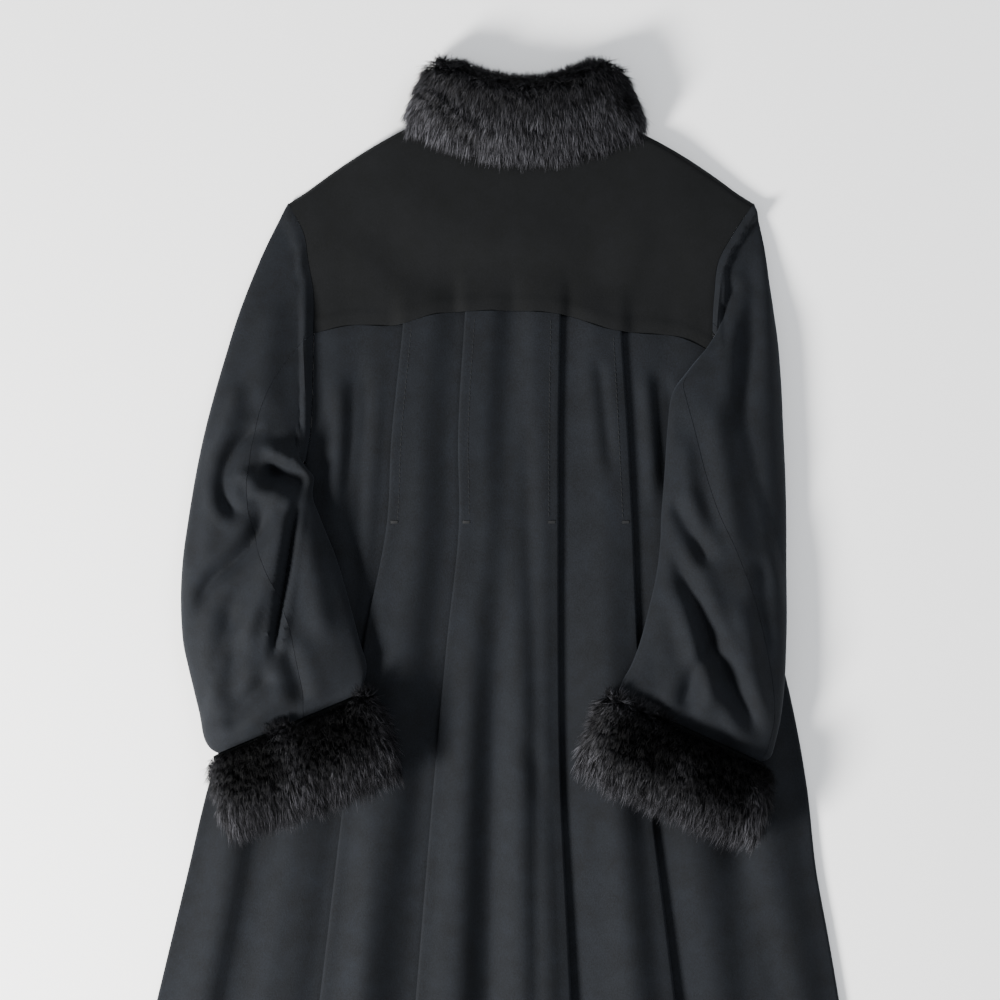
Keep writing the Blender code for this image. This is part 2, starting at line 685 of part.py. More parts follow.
def read_map(heights, across, down):
    column = np.clip((across - MAP_ACROSS[0]) / MAP_CELL, 0, heights.shape[1] - 1.001)
    row = np.clip((down - MAP_DOWN[0]) / MAP_CELL, 0, heights.shape[0] - 1.001)
    c, r = column.astype(int), row.astype(int)
    s, t = column - c, row - r
    upper = heights[r, c] * (1 - s) + heights[r, c + 1] * s
    lower = heights[r + 1, c] * (1 - s) + heights[r + 1, c + 1] * s
    return upper * (1 - t) + lower * t


def path_distance(across, down, path):
    """Distance from plan points to a path of straight stretches."""
    nearest = np.full(np.shape(across), np.inf)
    for (x0, y0), (x1, y1) in zip(path[:-1], path[1:]):
        run, rise = x1 - x0, y1 - y0
        t = np.clip(((across - x0) * run + (down - y0) * rise) / (run * run + rise * rise), 0, 1)
        nearest = np.minimum(nearest, np.hypot(across - x0 - t * run, down - y0 - t * rise))
    return nearest


RING_POINTS = 24
BACK_SEAM_COLUMN = 0
FORE_SEAM_COLUMN = 13
RING_ROWS = {"left": (0, 0.5, 1, 1.5, 2, 3, 4, 5, 6, 7, 8, 9, 10, 11, 12, 13, 14, 15, 16)}
RING_ROWS["right"] = (0, 0.5, 1, 1.5, 2, 2.5, 3, 4, 5, 6, 7, 8, 9, 10, 11, 12, 13, 14, 15, 16, 17)


def sleeve_ring(side, row, near, wide):
    """Middle points of one sleeve section, all the way round from the back seam."""
    stations = SLEEVE[side]
    keys = np.arange(len(stations["crown"]), dtype=float)
    at = {name: float(through(keys, stations[name], row)) for name in stations}
    start = math.acos(1 - 2 * at["seam"])
    angles = start + np.arange(RING_POINTS) * 2 * math.pi / RING_POINTS
    share = (1 - np.cos(angles)) / 2
    on_top = np.sin(angles) > 0
    outer = np.array([at["outer_across"], at["outer_down"]])
    inner = np.array([at["inner_across"], at["inner_down"]])
    plan = outer + (inner - outer) * share[:, None]
    width = np.linalg.norm(inner - outer)
    armhole_down = TIP_DOWN + (UNDERARM_DOWN[side] - TIP_DOWN) * share
    armhole = edge_points(side, armhole_down) + seam_crossing(side, armhole_down)[:, :2] * ARMHOLE_GAP
    first_outer = np.array([stations["outer_across"][0], stations["outer_down"][0]])
    first_inner = np.array([stations["inner_across"][0], stations["inner_down"][0]])
    chord = first_outer + (first_inner - first_outer) * share[:, None]
    plan = plan + (armhole - chord) * float(1 - between(0, 4, row))
    from_end = np.minimum(share, 1 - share) * width
    if row == 0:
        upper = back_level(armhole[:, 0], armhole[:, 1])
        lower = front_level(armhole[:, 0], armhole[:, 1])
        drop = roll_drop(from_end, (upper - lower) / 2)
        return np.column_stack([armhole, np.where(on_top, upper - drop, lower + drop)])
    settled = float(between(2.5, 5, row))
    across, down = plan[:, 0], plan[:, 1]
    under = read_map(near, across, down) * (1 - settled) + read_map(wide, across, down) * settled
    base = np.where(under > 0.5, under + LAYER_GAP, 0) + WALL / 2 + at["lift"]
    corner = min(5.0, at["crown"] / 2)
    lower = base + roll_drop(from_end, corner)
    fullness = np.abs(np.sin(angles)) ** 0.7
    fold = np.zeros(RING_POINTS)
    for _, path, half_width, depth in CREASES[side]:
        fold += depth * np.exp(-((path_distance(across, down, path) / half_width) ** 2))
    level_base = base + 0.5 * fullness * (base.mean() - base)
    upper = level_base + corner + (at["crown"] - corner) * fullness + fold * fullness**2 * float(between(0, 2, row))
    upper = np.maximum(upper, lower + 1.2 * WALL * fullness)
    return np.column_stack([plan, np.where(on_top, upper, lower)])


def build_sleeve(side, near, wide):
    """Outer and under sleeve, cut from one flattened tube along the back seam and the fore seam."""
    rings = np.array([sleeve_ring(side, row, near, wide) for row in RING_ROWS[side]])
    normals = surface_normals(rings, True)
    inwards = rings.mean(axis=1, keepdims=True) - rings
    facing = np.sign(np.sum(normals * inwards, axis=-1).mean())
    normals = -normals * facing
    share = (rings[0, :, 1] - TIP_DOWN) / (UNDERARM_DOWN[side] - TIP_DOWN)
    armhole_down = TIP_DOWN + (UNDERARM_DOWN[side] - TIP_DOWN) * np.clip(share, 0, 1)
    normals[0] = square(normals[0], seam_crossing(side, armhole_down))
    end_run = unit(rings[-1].mean(axis=0) - rings[-2].mean(axis=0))
    normals[-1] = square(normals[-1], (end_run[0], end_run[1], 0))
    near_head = 1 - between(1.0, 4.0, np.array(RING_ROWS[side]))
    half_gap = (SLEEVE_SEAM_GAP / 2 + HEAD_SEAM_EASE * near_head)[:, None]
    halves = (("outer", FORE_SEAM_COLUMN, RING_POINTS), ("under", BACK_SEAM_COLUMN, FORE_SEAM_COLUMN))
    for label, first, last in halves:
        columns = np.arange(first, last + 1) % RING_POINTS
        middle = rings[:, columns].copy()
        middle[:, 0] += unit(middle[:, 1] - middle[:, 0]) * half_gap
        middle[:, -1] += unit(middle[:, -2] - middle[:, -1]) * half_gap
        cloth(f"sleeve_{side}_{label}", middle, normals[:, columns])
    return rings, normals


def build_cuff(side, sleeve_rings, sleeve_normals, wide):
    """A fur band sewn to the sleeve's end: a flattened loop inside, and the reach of the pile outside."""
    stations = CUFF[side]
    angles = math.acos(1 - 2 * SLEEVE[side]["seam"][-1]) + np.arange(RING_POINTS) * 2 * math.pi / RING_POINTS
    share = (1 - np.cos(angles)) / 2
    on_top = np.sin(angles) > 0
    end_run = unit((sleeve_rings[-1] - sleeve_rings[-2]).mean(axis=0) * (1, 1, 0))
    first_inner = sleeve_rings[-1] - sleeve_normals[-1] * WALL / 2 + end_run * SEAM
    ox, od, ix, idn = CUFF_OPENING[side]
    last_plan = np.array([ox, od]) + (np.array([ix, idn]) - np.array([ox, od])) * share[:, None]
    count = len(stations["height"])
    outer_rows, inner_rows = [], []
    for row in range(count):
        outer = np.array([stations["outer_across"][row], stations["outer_down"][row]])
        inner = np.array([stations["inner_across"][row], stations["inner_down"][row]])
        plan = outer + (inner - outer) * share[:, None]
        end_share = row / (count - 1)
        plan[:, 1] += CUFF_BULGE * end_share**2 * np.sin(math.pi * share)
        width = np.linalg.norm(inner - outer)
        base = read_map(wide, plan[:, 0], plan[:, 1]) + LAYER_GAP
        from_end = np.minimum(share, 1 - share) * width
        tip_lift = CUFF_TIP_LIFT[0] if row == 0 else (CUFF_TIP_LIFT[1] if row == count - 1 else 0.0)
        lower = base + tip_lift + roll_drop(from_end, CUFF_ROUND)
        fullness = np.abs(np.sin(angles)) ** CUFF_SQUARENESS
        steady = base + CUFF_STEADY * fullness * (base.mean() - base)
        crown = stations["height"][row] - CUFF_ROUND - tip_lift
        upper = steady + tip_lift + CUFF_ROUND + crown * fullness
        outer_rows.append(np.column_stack([plan, np.where(on_top, upper, lower)]))
        inner_plan = first_inner[:, :2] * (1 - end_share) + last_plan * end_share
        loop_base = read_map(wide, inner_plan[:, 0], inner_plan[:, 1]) + LAYER_GAP + PILE_UNDER + WALL
        loop_base = loop_base.mean() + (1 - CUFF_STEADY) * (loop_base - loop_base.mean())
        opened = np.sign(np.sin(angles)) * np.minimum(1, np.abs(np.sin(angles)) * 3)
        loop = loop_base + CUFF_LOOP_HALF * (1 + opened)
        loop_level = loop * end_share + first_inner[:, 2] * (1 - end_share)
        inner_rows.append(np.column_stack([inner_plan, loop_level]))
    solid(f"cuff_{side}", np.array(outer_rows), np.array(inner_rows), True, FUR_BLACK, FUR_ROUGHNESS)


COLLAR_EAR_ANGLES = np.radians([30, 60, 90, 120, 150])
COLLAR_SLIT = 2.0
COLLAR_TOP_DOWN = 82.0
COLLAR_EAR_RISE = 16.0
COLLAR_FRONT_HEIGHT = 58.0
COLLAR_OVERHANG_UNDER = 8.0
COLLAR_TIP = 9.0
COLLAR_TIP_UNDER = 3.0
COLLAR_EAR_GAP = 1.6
COLLAR_CLEARANCE = 2.7

# The pile's outline: shares of the band's height and of the pile down its face, then of the overhang past the seam
COLLAR_FACE = ((0.05, 0.96), (0.35, 1.0), (0.7, 1.0))
COLLAR_SKIRT = ((0.3, 0.85), (0.8, 0.55))


def collar_path():
    """Rows of the collar round the neck: across, down of its lower edge, height, turn outwards, band height."""
    rows = []
    back_inner = NECK_BACK_LEVEL - WALL / 2
    front_inner = NECK_FRONT_LEVEL + WALL / 2
    middle_height = (back_inner + front_inner) / 2
    radius = (back_inner - front_inner) / 2
    side_height = NECK_POINT_DOWN - (COLLAR_TOP_DOWN - COLLAR_EAR_RISE)

    def front_rows(cells):
        for across in cells:
            u = abs(across - NECK_ACROSS) / NECK_HALF
            band = COLLAR_FRONT_HEIGHT + (side_height - COLLAR_FRONT_HEIGHT) * u
            rows.append((across, front_neck(across), front_inner, math.pi, band))

    def ear_rows(side, angles):
        across = NECK_ACROSS + OUTWARD[side] * NECK_HALF
        for angle in angles:
            outwards = across + OUTWARD[side] * radius * math.sin(angle)
            height = middle_height + radius * math.cos(angle)
            rows.append((outwards, back_neck(across), height, OUTWARD[side] * angle, side_height))

    middle_cell = NECK_CELLS // 2
    left_front = neck_samples(0, middle_cell)[::-1].copy()
    left_front[0] -= COLLAR_SLIT
    front_rows(left_front)
    ear_rows("left", COLLAR_EAR_ANGLES[::-1])
    for across in neck_samples(0, NECK_CELLS):
        u = (across - NECK_ACROSS) / NECK_HALF
        top_down = COLLAR_TOP_DOWN - COLLAR_EAR_RISE * min(1.0, (u / 0.8) ** 2)
        rows.append((across, back_neck(across), back_inner, 0.0, back_neck(across) - top_down))
    ear_rows("right", COLLAR_EAR_ANGLES)
    right_front = neck_samples(middle_cell, NECK_CELLS)[::-1].copy()
    right_front[-1] += COLLAR_SLIT
    front_rows(right_front)
    return rows


def build_collar():
    """A stand collar: its lining side follows the neck, and its pile stands out over the neck seam."""
    loops = []
    low_across, high_across = NECK_ACROSS - NECK_HALF, NECK_ACROSS + NECK_HALF
    for across, down, height, turn, band in collar_path():
        facing_up = math.cos(turn)
        pile = PILE_SIDE + (PILE_TOP - PILE_SIDE) * max(facing_up, 0)
        pile += (PILE_UNDER - PILE_SIDE) * max(-facing_up, 0)
        overhang = COLLAR_OVERHANG * float(between(0.88, 1, facing_up))
        overhang += COLLAR_OVERHANG_UNDER * float(between(0.88, 1, -facing_up))
        tip = COLLAR_TIP if facing_up > -0.5 else COLLAR_TIP_UNDER
        gap = neck_gap(back_neck if facing_up > 0 else front_neck, min(max(across, low_across), high_across))
        gap = gap if abs(facing_up) > 0.9 else COLLAR_EAR_GAP
        profile = [(-0.7 * tip, 0.3 * pile), (-tip, 0.68 * pile)]
        for from_top, outwards in COLLAR_FACE:
            profile.append((from_top * band, outwards * pile))
        for beyond, outwards in COLLAR_SKIRT:
            profile.append((band - gap + beyond * overhang, outwards * pile))
        profile.append((band - gap + overhang, COLLAR_CLEARANCE + 0.1 * pile))
        profile.append((band - gap, COLLAR_CLEARANCE))
        line = []
        for from_top, outwards in profile:
            line.append(collar_point(across, down, height, turn, band, from_top, outwards))
        for share in (1.0, 0.66, 0.33, 0.0):
            line.append(collar_point(across, down, height, turn, band, share * (band - gap), 0.0))
        loops.append(line)
    swept("collar", np.array(loops), FUR_BLACK, FUR_ROUGHNESS)


def collar_point(across, down, height, turn, band, from_top, outwards):
    narrowing = 1 - COLLAR_TAPER * min(1.0, max(0.0, (band - from_top) / band))
    place = NECK_ACROSS + (across - NECK_ACROSS + outwards * math.sin(turn)) * narrowing
    return (place, down - band + from_top, height + outwards * math.cos(turn))


def clear_scene():
    for obj in list(bpy.data.objects):
        bpy.data.objects.remove(obj, do_unlink=True)


clear_scene()
yoke_middle, yoke_normals = build_yoke()
skirt_middle, skirt_normals = build_skirt()
for front_side in ("left", "right"):
    build_front(front_side)
laid_back = top_of([(yoke_middle, yoke_normals), (skirt_middle, skirt_normals)])
near_map = spread(laid_back, 8.0)
wide_map = spread(laid_back, 20.0)
for sleeve_side in ("left", "right"):
    tube, tube_normals = build_sleeve(sleeve_side, near_map, wide_map)
    build_cuff(sleeve_side, tube, tube_normals, wide_map)
build_collar()
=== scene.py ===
import math

import bmesh
import bpy
import numpy as np
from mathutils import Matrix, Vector
from mathutils.bvhtree import BVHTree


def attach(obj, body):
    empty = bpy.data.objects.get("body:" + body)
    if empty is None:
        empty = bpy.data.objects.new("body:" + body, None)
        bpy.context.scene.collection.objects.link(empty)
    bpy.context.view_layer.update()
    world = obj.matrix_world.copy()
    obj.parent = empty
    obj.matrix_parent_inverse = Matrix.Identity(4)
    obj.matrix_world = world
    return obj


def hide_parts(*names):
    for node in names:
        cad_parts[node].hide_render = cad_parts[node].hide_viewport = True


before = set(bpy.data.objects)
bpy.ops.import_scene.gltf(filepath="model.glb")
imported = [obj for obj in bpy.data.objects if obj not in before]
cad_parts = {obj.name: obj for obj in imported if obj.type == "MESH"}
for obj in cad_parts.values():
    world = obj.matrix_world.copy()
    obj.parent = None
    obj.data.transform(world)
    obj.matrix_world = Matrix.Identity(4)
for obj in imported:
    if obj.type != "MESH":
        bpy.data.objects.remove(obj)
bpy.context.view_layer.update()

# Fronts
# Two panels of wool melton, cut with the armholes and half the neckline each. They lie under the back, the left
# one lapped 100 mm over the right one at the centre front, and are rolled into the side seams.

# Plan sizes are millimetres on the laying table: across runs right, down runs from the head line to the hem
MM = 0.001
MIDDLE_ACROSS = -15.0
MIDDLE_DOWN = 684.0
WALL = 2.0
SEAM = 0.3
LAP = 2.3
# Where the lap climbs to the neck, it is lifted by up to a quarter of this more
LAP_CLIMB = 5.0
FRONT_LEVEL = WALL / 2
BACK_LEVEL = 6.0
NECK_FRONT_LEVEL = 9.0
NECK_BACK_LEVEL = 14.0
PAD_RISE = 5.0
PAD_RADIUS = 58.0
PAD_ACROSS = (-172.0, 208.0)
PAD_DOWN = 222.0
NECK_ACROSS = 25.0
NECK_HALF = 103.5
BACK_NECK_DOWN = 150.0
FRONT_NECK_DOWN = 205.0
NECK_POINT_DOWN = 123.0
NECK_TILT = 3.0
# The neck lifts the cloth over an oval, and the lift ends between these shares of the oval's size
NECK_OVAL_ACROSS = 125.0
NECK_OVAL_DOWN = 100.0
NECK_OVAL_MIDDLE = 128.0
BACK_LIFT_ENDS = (1.05, 1.8)
FRONT_LIFT_ENDS = (1.0, 1.5)
NECK_CELLS = 40
MIDDLE_CELL = NECK_CELLS // 2
LAP_CELLS = 10
TIP_DOWN = 204.0
TIP_EASE = 1.7
TIP_EASE_REACH = 9.0
# A shoulder seam is crowned a little outwards and towards the head
SHOULDER_CROWN = (3.0, -4.0)
UNDERARM_DOWN = {"left": 460.0, "right": 330.0}
# From this far above the underarm to this far below it, the flat armhole edge becomes the rolled side seam
UNDERARM_TURN = (-12.0, 14.0)
OUTWARD = {"left": -1.0, "right": 1.0}
HEM_DOWN = 1314.5
HEM_RISE = 26.0
CENTRE_HEM_ACROSS = -15.0


def table(names, *rows):
    """A table with named columns."""
    return {name: np.array(column, float) for name, column in zip(names.split(), zip(*rows))}


# The body's two edges, down the armholes and then the side seams
EDGE = table(
    "down left right",
    (204, -211, 253),
    (234, -196, 233),
    (260, -192, 219),
    (290, -187, 215),
    (334, -187, 213),
    (384, -188, 215),
    (430, -190, 219),
    (460, -195, 224),
    (520, -213, 241),
    (600, -237, 263),
    (668, -257, 284),
    (736, -277, 299),
    (790, -293, 308),
    (880, -314, 318),
    (948, -330, 330),
    (1315, -414, 384),
)


def between(low, high, value):
    """Smooth step from 0 at low to 1 at high."""
    t = np.clip((np.asarray(value, float) - low) / (high - low), 0.0, 1.0)
    return t * t * (3.0 - 2.0 * t)


def through(keys, values, at):
    """Smooth curve through the rows of a table."""
    at = np.asarray(at, float)
    slopes = np.gradient(values, keys)
    row = np.clip(np.searchsorted(keys, at, side="right") - 1, 0, len(keys) - 2)
    span = keys[row + 1] - keys[row]
    t = (at - keys[row]) / span
    start = (1 + 2 * t) * (1 - t) ** 2 * values[row] + t * (1 - t) ** 2 * span * slopes[row]
    end = t * t * (3 - 2 * t) * values[row + 1] - t * t * (1 - t) * span * slopes[row + 1]
    return start + end


def edge(side, down):
    return through(EDGE["down"], EDGE[side], down)


def neckline_down(across, lowest_down):
    """A round neckline through both neck points, tilted as the coat lies."""
    u = (across - NECK_ACROSS) / NECK_HALF
    return lowest_down - (lowest_down - NECK_POINT_DOWN) * u * u + NECK_TILT * u


def back_neck(across):
    return neckline_down(across, BACK_NECK_DOWN)


def front_neck(across):
    return neckline_down(across, FRONT_NECK_DOWN)


def neck_distance(across, down):
    """Distance from the neck's middle, as a share of the neck oval."""
    return np.hypot((across - NECK_ACROSS) / NECK_OVAL_ACROSS, (down - NECK_OVAL_MIDDLE) / NECK_OVAL_DOWN)


def back_level(across, down):
    """Height of the back's middle, without its tucks: lifted at the neck and over the shoulder pads."""
    lift = 1 - between(*BACK_LIFT_ENDS, neck_distance(across, down))
    level = BACK_LEVEL + (NECK_BACK_LEVEL - BACK_LEVEL) * lift
    for pad_across in PAD_ACROSS:
        reach = ((across - pad_across) ** 2 + (down - PAD_DOWN) ** 2) / PAD_RADIUS**2
        level = level + PAD_RISE * np.exp(-reach)
    return level


def front_level(across, down):
    lift = 1 - between(*FRONT_LIFT_ENDS, neck_distance(across, down))
    return FRONT_LEVEL + (NECK_FRONT_LEVEL - FRONT_LEVEL) * lift


def roll_drop(distance, radius):
    """How far a rolled edge has dropped at a distance inside it."""
    inside = np.clip(1 - np.asarray(distance, float) / radius, 0.0, 1.0)
    return radius * (1 - np.sqrt(1 - inside * inside))


def unit(vectors):
    return vectors / np.maximum(np.linalg.norm(vectors, axis=-1, keepdims=True), 1e-9)


def surface_normals(points, wrap=False):
    """Unit normals of a grid of points, whose columns close on themselves where wrap is set."""
    down = np.gradient(points, axis=0)
    if wrap:
        along = np.roll(points, -1, axis=1) - np.roll(points, 1, axis=1)
    else:
        along = np.gradient(points, axis=1)
    return unit(np.cross(along, down))


def square(normals, crossing):
    """Takes out of edge normals their part along the direction that crosses the seam."""
    crossing = unit(np.asarray(crossing, float))
    return unit(normals - np.sum(normals * crossing, axis=-1, keepdims=True) * crossing)


def to_world(points):
    """Plan millimetres to metres round the coat's origin."""
    points = points.reshape(-1, 3)
    return np.column_stack(
        [(points[:, 0] - MIDDLE_ACROSS) * MM, (MIDDLE_DOWN - points[:, 1]) * MM, points[:, 2] * MM]
    )


def linear(code):
    """An sRGB hex colour as the linear colour that a shader takes."""
    parts = [int(code[i:i + 2], 16) / 255 for i in (1, 3, 5)]
    return tuple(c / 12.92 if c <= 0.04045 else ((c + 0.055) / 1.055) ** 2.4 for c in parts) + (1.0,)


def add_node(tree, kind, settings=(), links=()):
    """Adds a node to a material with its settings, and with links as (its socket, other node, its output)."""
    node = tree.nodes.new(kind)
    for key, value in settings:
        if isinstance(key, int) or key in node.inputs:
            node.inputs[key].default_value = value
        else:
            setattr(node, key, value)
    for socket, source, output in links:
        tree.links.new(source.outputs[output], node.inputs[socket])
    return node


def surface_finish(name, **sockets):
    """A new material, its node tree and its shader, with values set on the shader's own sockets."""
    material = bpy.data.materials.new(name)
    material.use_nodes = True
    shader = material.node_tree.nodes["Principled BSDF"]
    for socket, value in sockets.items():
        shader.inputs[socket.replace("_", " ")].default_value = value
    return material, material.node_tree, shader


# A fibre is 0.02 mm thick. It is drawn as a coarser fleck, because a finer one doesn't show, over clouds of nap
FLECK_SIZE = 1.316
NAP_SIZE = 23.81
FLECK_DEPTH = 0.5


def wool_melton(name, dark, light, sheen_colour, sheen):
    """Wool melton: woven, milled and brushed, so that a dense short nap hides the weave and the eye sees a
    matte cloth with soft flecks."""
    material, tree, shader = surface_finish(
        name,
        Roughness=0.88,
        Specular_IOR_Level=0.16,
        Sheen_Weight=sheen,
        Sheen_Roughness=0.45,
        Sheen_Tint=linear(sheen_colour),
    )
    place = add_node(tree, "ShaderNodeTexCoord")
    flecks = add_node(
        tree,
        "ShaderNodeTexNoise",
        [("Scale", 1 / (FLECK_SIZE * MM)), ("Detail", 3.0), ("Roughness", 0.65)],
        [("Vector", place, "Object")],
    )
    nap = add_node(
        tree,
        "ShaderNodeTexNoise",
        [("Scale", 1 / (NAP_SIZE * MM)), ("Detail", 2.0), ("Roughness", 0.55)],
        [("Vector", place, "Object")],
    )
    blend = add_node(
        tree,
        "ShaderNodeMath",
        [("operation", "MULTIPLY_ADD"), (1, 0.45)],
        [(0, nap, "Fac"), (2, flecks, "Fac")],
    )
    contrast = add_node(
        tree, "ShaderNodeMapRange", [("From Min", 0.5), ("From Max", 0.96)], [("Value", blend, "Value")]
    )
    colour = add_node(
        tree,
        "ShaderNodeMix",
        [("data_type", "RGBA"), (6, linear(dark)), (7, linear(light))],
        [(0, contrast, "Result")],
    )
    relief = add_node(
        tree,
        "ShaderNodeBump",
        [("Strength", 0.5), ("Distance", FLECK_DEPTH * MM)],
        [("Height", flecks, "Fac")],
    )
    tree.links.new(colour.outputs[2], shader.inputs["Base Color"])
    tree.links.new(relief.outputs["Normal"], shader.inputs["Normal"])
    return material


body_melton = wool_melton("wool_melton_body", "#08090B", "#13161B", "#98A4B8", 0.06)


# An edge of the cloth looks sharp where its faces turn by more than this
SHARP_TURN = math.radians(55)


def make_piece(name, points, faces, material):
    """One mesh object of closed form, with its faces turned outwards."""
    mesh = bpy.data.meshes.new(name)
    mesh.from_pydata(points.tolist(), [], faces)
    shape = bmesh.new()
    shape.from_mesh(mesh)
    bmesh.ops.recalc_face_normals(shape, faces=shape.faces[:])
    if shape.calc_volume(signed=True) < 0:
        bmesh.ops.reverse_faces(shape, faces=shape.faces[:])
    shape.to_mesh(mesh)
    shape.free()
    mesh.shade_smooth()
    mesh.set_sharp_from_angle(angle=SHARP_TURN)
    piece = bpy.data.objects.new(name, mesh)
    bpy.context.scene.collection.objects.link(piece)
    mesh.materials.append(material)
    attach(piece, "root")
    return piece


def close_wall(name, outer, inner, material, wrap=False):
    """A closed wall between two grids of points, whose columns close on themselves where wrap is set."""
    rows, columns = outer.shape[:2]
    inside = rows * columns
    last = columns if wrap else columns - 1
    row, column = np.meshgrid(np.arange(rows - 1), np.arange(last), indexing="ij")
    a = (row * columns + column).ravel()
    b = (row * columns + (column + 1) % columns).ravel()
    faces = [np.column_stack([a, b, b + columns, a + columns])]
    faces.append(np.column_stack([a + columns, b + columns, b, a]) + inside)
    for row in (0, rows - 1):
        a = row * columns + np.arange(last)
        b = row * columns + (np.arange(last) + 1) % columns
        faces.append(np.column_stack([b, a, inside + a, inside + b]))
    if not wrap:
        for column in (0, columns - 1):
            a = np.arange(rows - 1) * columns + column
            faces.append(np.column_stack([a, a + columns, inside + a + columns, inside + a]))
    points = to_world(np.concatenate([outer.reshape(-1, 3), inner.reshape(-1, 3)]))
    return make_piece(name, points, np.concatenate(faces).tolist(), material)


def sew(name, middle, normals, material):
    """A closed wall of cloth on both sides of a middle surface."""
    half_wall = normals * (WALL / 2)
    return close_wall(name, middle + half_wall, middle - half_wall, material)


def fractions(points):
    steps = np.linalg.norm(np.diff(points, axis=0), axis=1)
    return np.concatenate([[0.0], np.cumsum(steps)]) / steps.sum()


def patch(top, bottom, left, right):
    """Plan points between four edge curves: top and bottom run to the right, left and right run down."""
    u = ((fractions(top) + fractions(bottom)) / 2)[None, :, None]
    v = ((fractions(left) + fractions(right)) / 2)[:, None, None]
    rows = (1 - v) * top[None] + v * bottom[None]
    columns = (1 - u) * left[:, None] + u * right[:, None]
    corners = (1 - u) * ((1 - v) * top[0] + v * bottom[0]) + u * ((1 - v) * top[-1] + v * bottom[-1])
    return rows + columns - corners


def shoulder(side, count):
    """Plan points of a shoulder seam from its tip to just before the neck point, slightly crowned."""
    tip = np.array([edge(side, TIP_DOWN), TIP_DOWN])
    neck_across = NECK_ACROSS + OUTWARD[side] * NECK_HALF
    neck = np.array([neck_across, back_neck(neck_across)])
    t = np.linspace(0, 1, count, endpoint=False)[:, None]
    crown = np.array([OUTWARD[side] * SHOULDER_CROWN[0], SHOULDER_CROWN[1]]) * np.sin(math.pi * t)
    inset = np.array([0.0, WALL * 0.8]) * np.minimum(1.0, 6 * t)
    return tip + (neck - tip) * t + crown + inset


def ease_tips(plan):
    """The cloth reaches a little under the sleeve's seam at each shoulder tip, so that no gap shows there."""
    for side in ("left", "right"):
        away = np.linalg.norm(plan - (edge(side, TIP_DOWN), TIP_DOWN), axis=-1)
        plan[..., 0] += OUTWARD[side] * TIP_EASE * np.exp(-((away / TIP_EASE_REACH) ** 2))
    return plan


def neck_samples(first, last):
    step = 2 * NECK_HALF / NECK_CELLS
    return NECK_ACROSS - NECK_HALF + step * np.arange(first, last + 1)


def edge_points(side, downs):
    return np.column_stack([edge(side, downs), downs])


def seam_crossing(side, downs):
    """Level direction that crosses the armhole at each place down it, away from the body."""
    slope = edge(side, downs + 1.0) - edge(side, downs - 1.0)
    crossing = np.column_stack([np.full(len(downs), 2.0), -slope, np.zeros(len(downs))])
    return unit(crossing) * OUTWARD[side]


def below_underarm(side, down):
    """0 along the armhole and 1 along the rolled side seam, turning smoothly at the underarm."""
    first, last = UNDERARM_TURN
    return between(UNDERARM_DOWN[side] + first, UNDERARM_DOWN[side] + last, down)


def square_side(normals, side, downs, rows):
    """Squares a panel's edge normals to its armhole and, from the underarm's row on, to its side seam."""
    rolled = below_underarm(side, rows)[:, None]
    crossing = rolled * np.array([0, 0, 1.0]) + (1 - rolled) * seam_crossing(side, downs)
    return square(normals, crossing)


def square_top(normals, on_shoulder):
    """Squares a panel's top normals to the shoulder seams, crossed upwards, and to the neckline."""
    normals[on_shoulder] = square(normals[on_shoulder], (0, 0, 1))
    normals[~on_shoulder] = square(normals[~on_shoulder], (0, 1, 0))


HALF_HEM = (EDGE["right"][-1] - EDGE["left"][-1]) / 2


def hem_lift(across):
    """How far the hem's curve lifts it above its lowest point."""
    return HEM_RISE * ((across - CENTRE_HEM_ACROSS) / HALF_HEM) ** 2


SHOULDER_CELLS = 24
# Share of the distance from a shoulder seam that counts along its roll
SHOULDER_ROLL = 0.8
ROLL_STEPS = 5
# Rows of the fronts' grid: closer together round the armhole than along the side seam
ARMHOLE_SPAN = 256.0
ARMHOLE_ROWS = TIP_DOWN + ARMHOLE_SPAN * np.linspace(0, 1, 46) ** 1.5
SIDE_SEAM_ROWS = np.linspace(470, HEM_DOWN, 60)
FRONT_ROWS = np.concatenate([ARMHOLE_ROWS, SIDE_SEAM_ROWS])
HEM_CURVE_STARTS = 840.0
# The lap rises within two of these runs of columns
LAP_STEP_CELLS = LAP_CELLS / 3
LAPPED_COLUMN = SHOULDER_CELLS + MIDDLE_CELL - LAP_CELLS - LAP_STEP_CELLS
LAP_CLIMBS = (1.0, 1.9)


def front_plan(side):
    """Plan points of one front, from its armhole and side seam to its edge lapped past the centre front."""
    if side == "left":
        neck_across = neck_samples(0, MIDDLE_CELL + LAP_CELLS)
    else:
        neck_across = neck_samples(MIDDLE_CELL - LAP_CELLS, NECK_CELLS)[::-1]
    neckline = np.column_stack([neck_across, front_neck(neck_across)])
    top = np.concatenate([shoulder(side, SHOULDER_CELLS), neckline])
    outer = edge_points(side, FRONT_ROWS)
    run = fractions(outer)
    lap_across = neck_across[-1] + (CENTRE_HEM_ACROSS - NECK_ACROSS) * run
    lap_down = neckline[-1, 1] + (HEM_DOWN - neckline[-1, 1]) * run
    inner = np.column_stack([lap_across, lap_down])
    share = fractions(top)
    hem_across = outer[-1, 0] * (1 - share) + inner[-1, 0] * share
    hem_down = HEM_DOWN - hem_lift(hem_across)
    outer[:, 1] -= hem_lift(hem_across[0]) * between(HEM_CURVE_STARTS, HEM_DOWN, FRONT_ROWS)
    return ease_tips(patch(top, np.column_stack([hem_across, hem_down]), outer, inner))


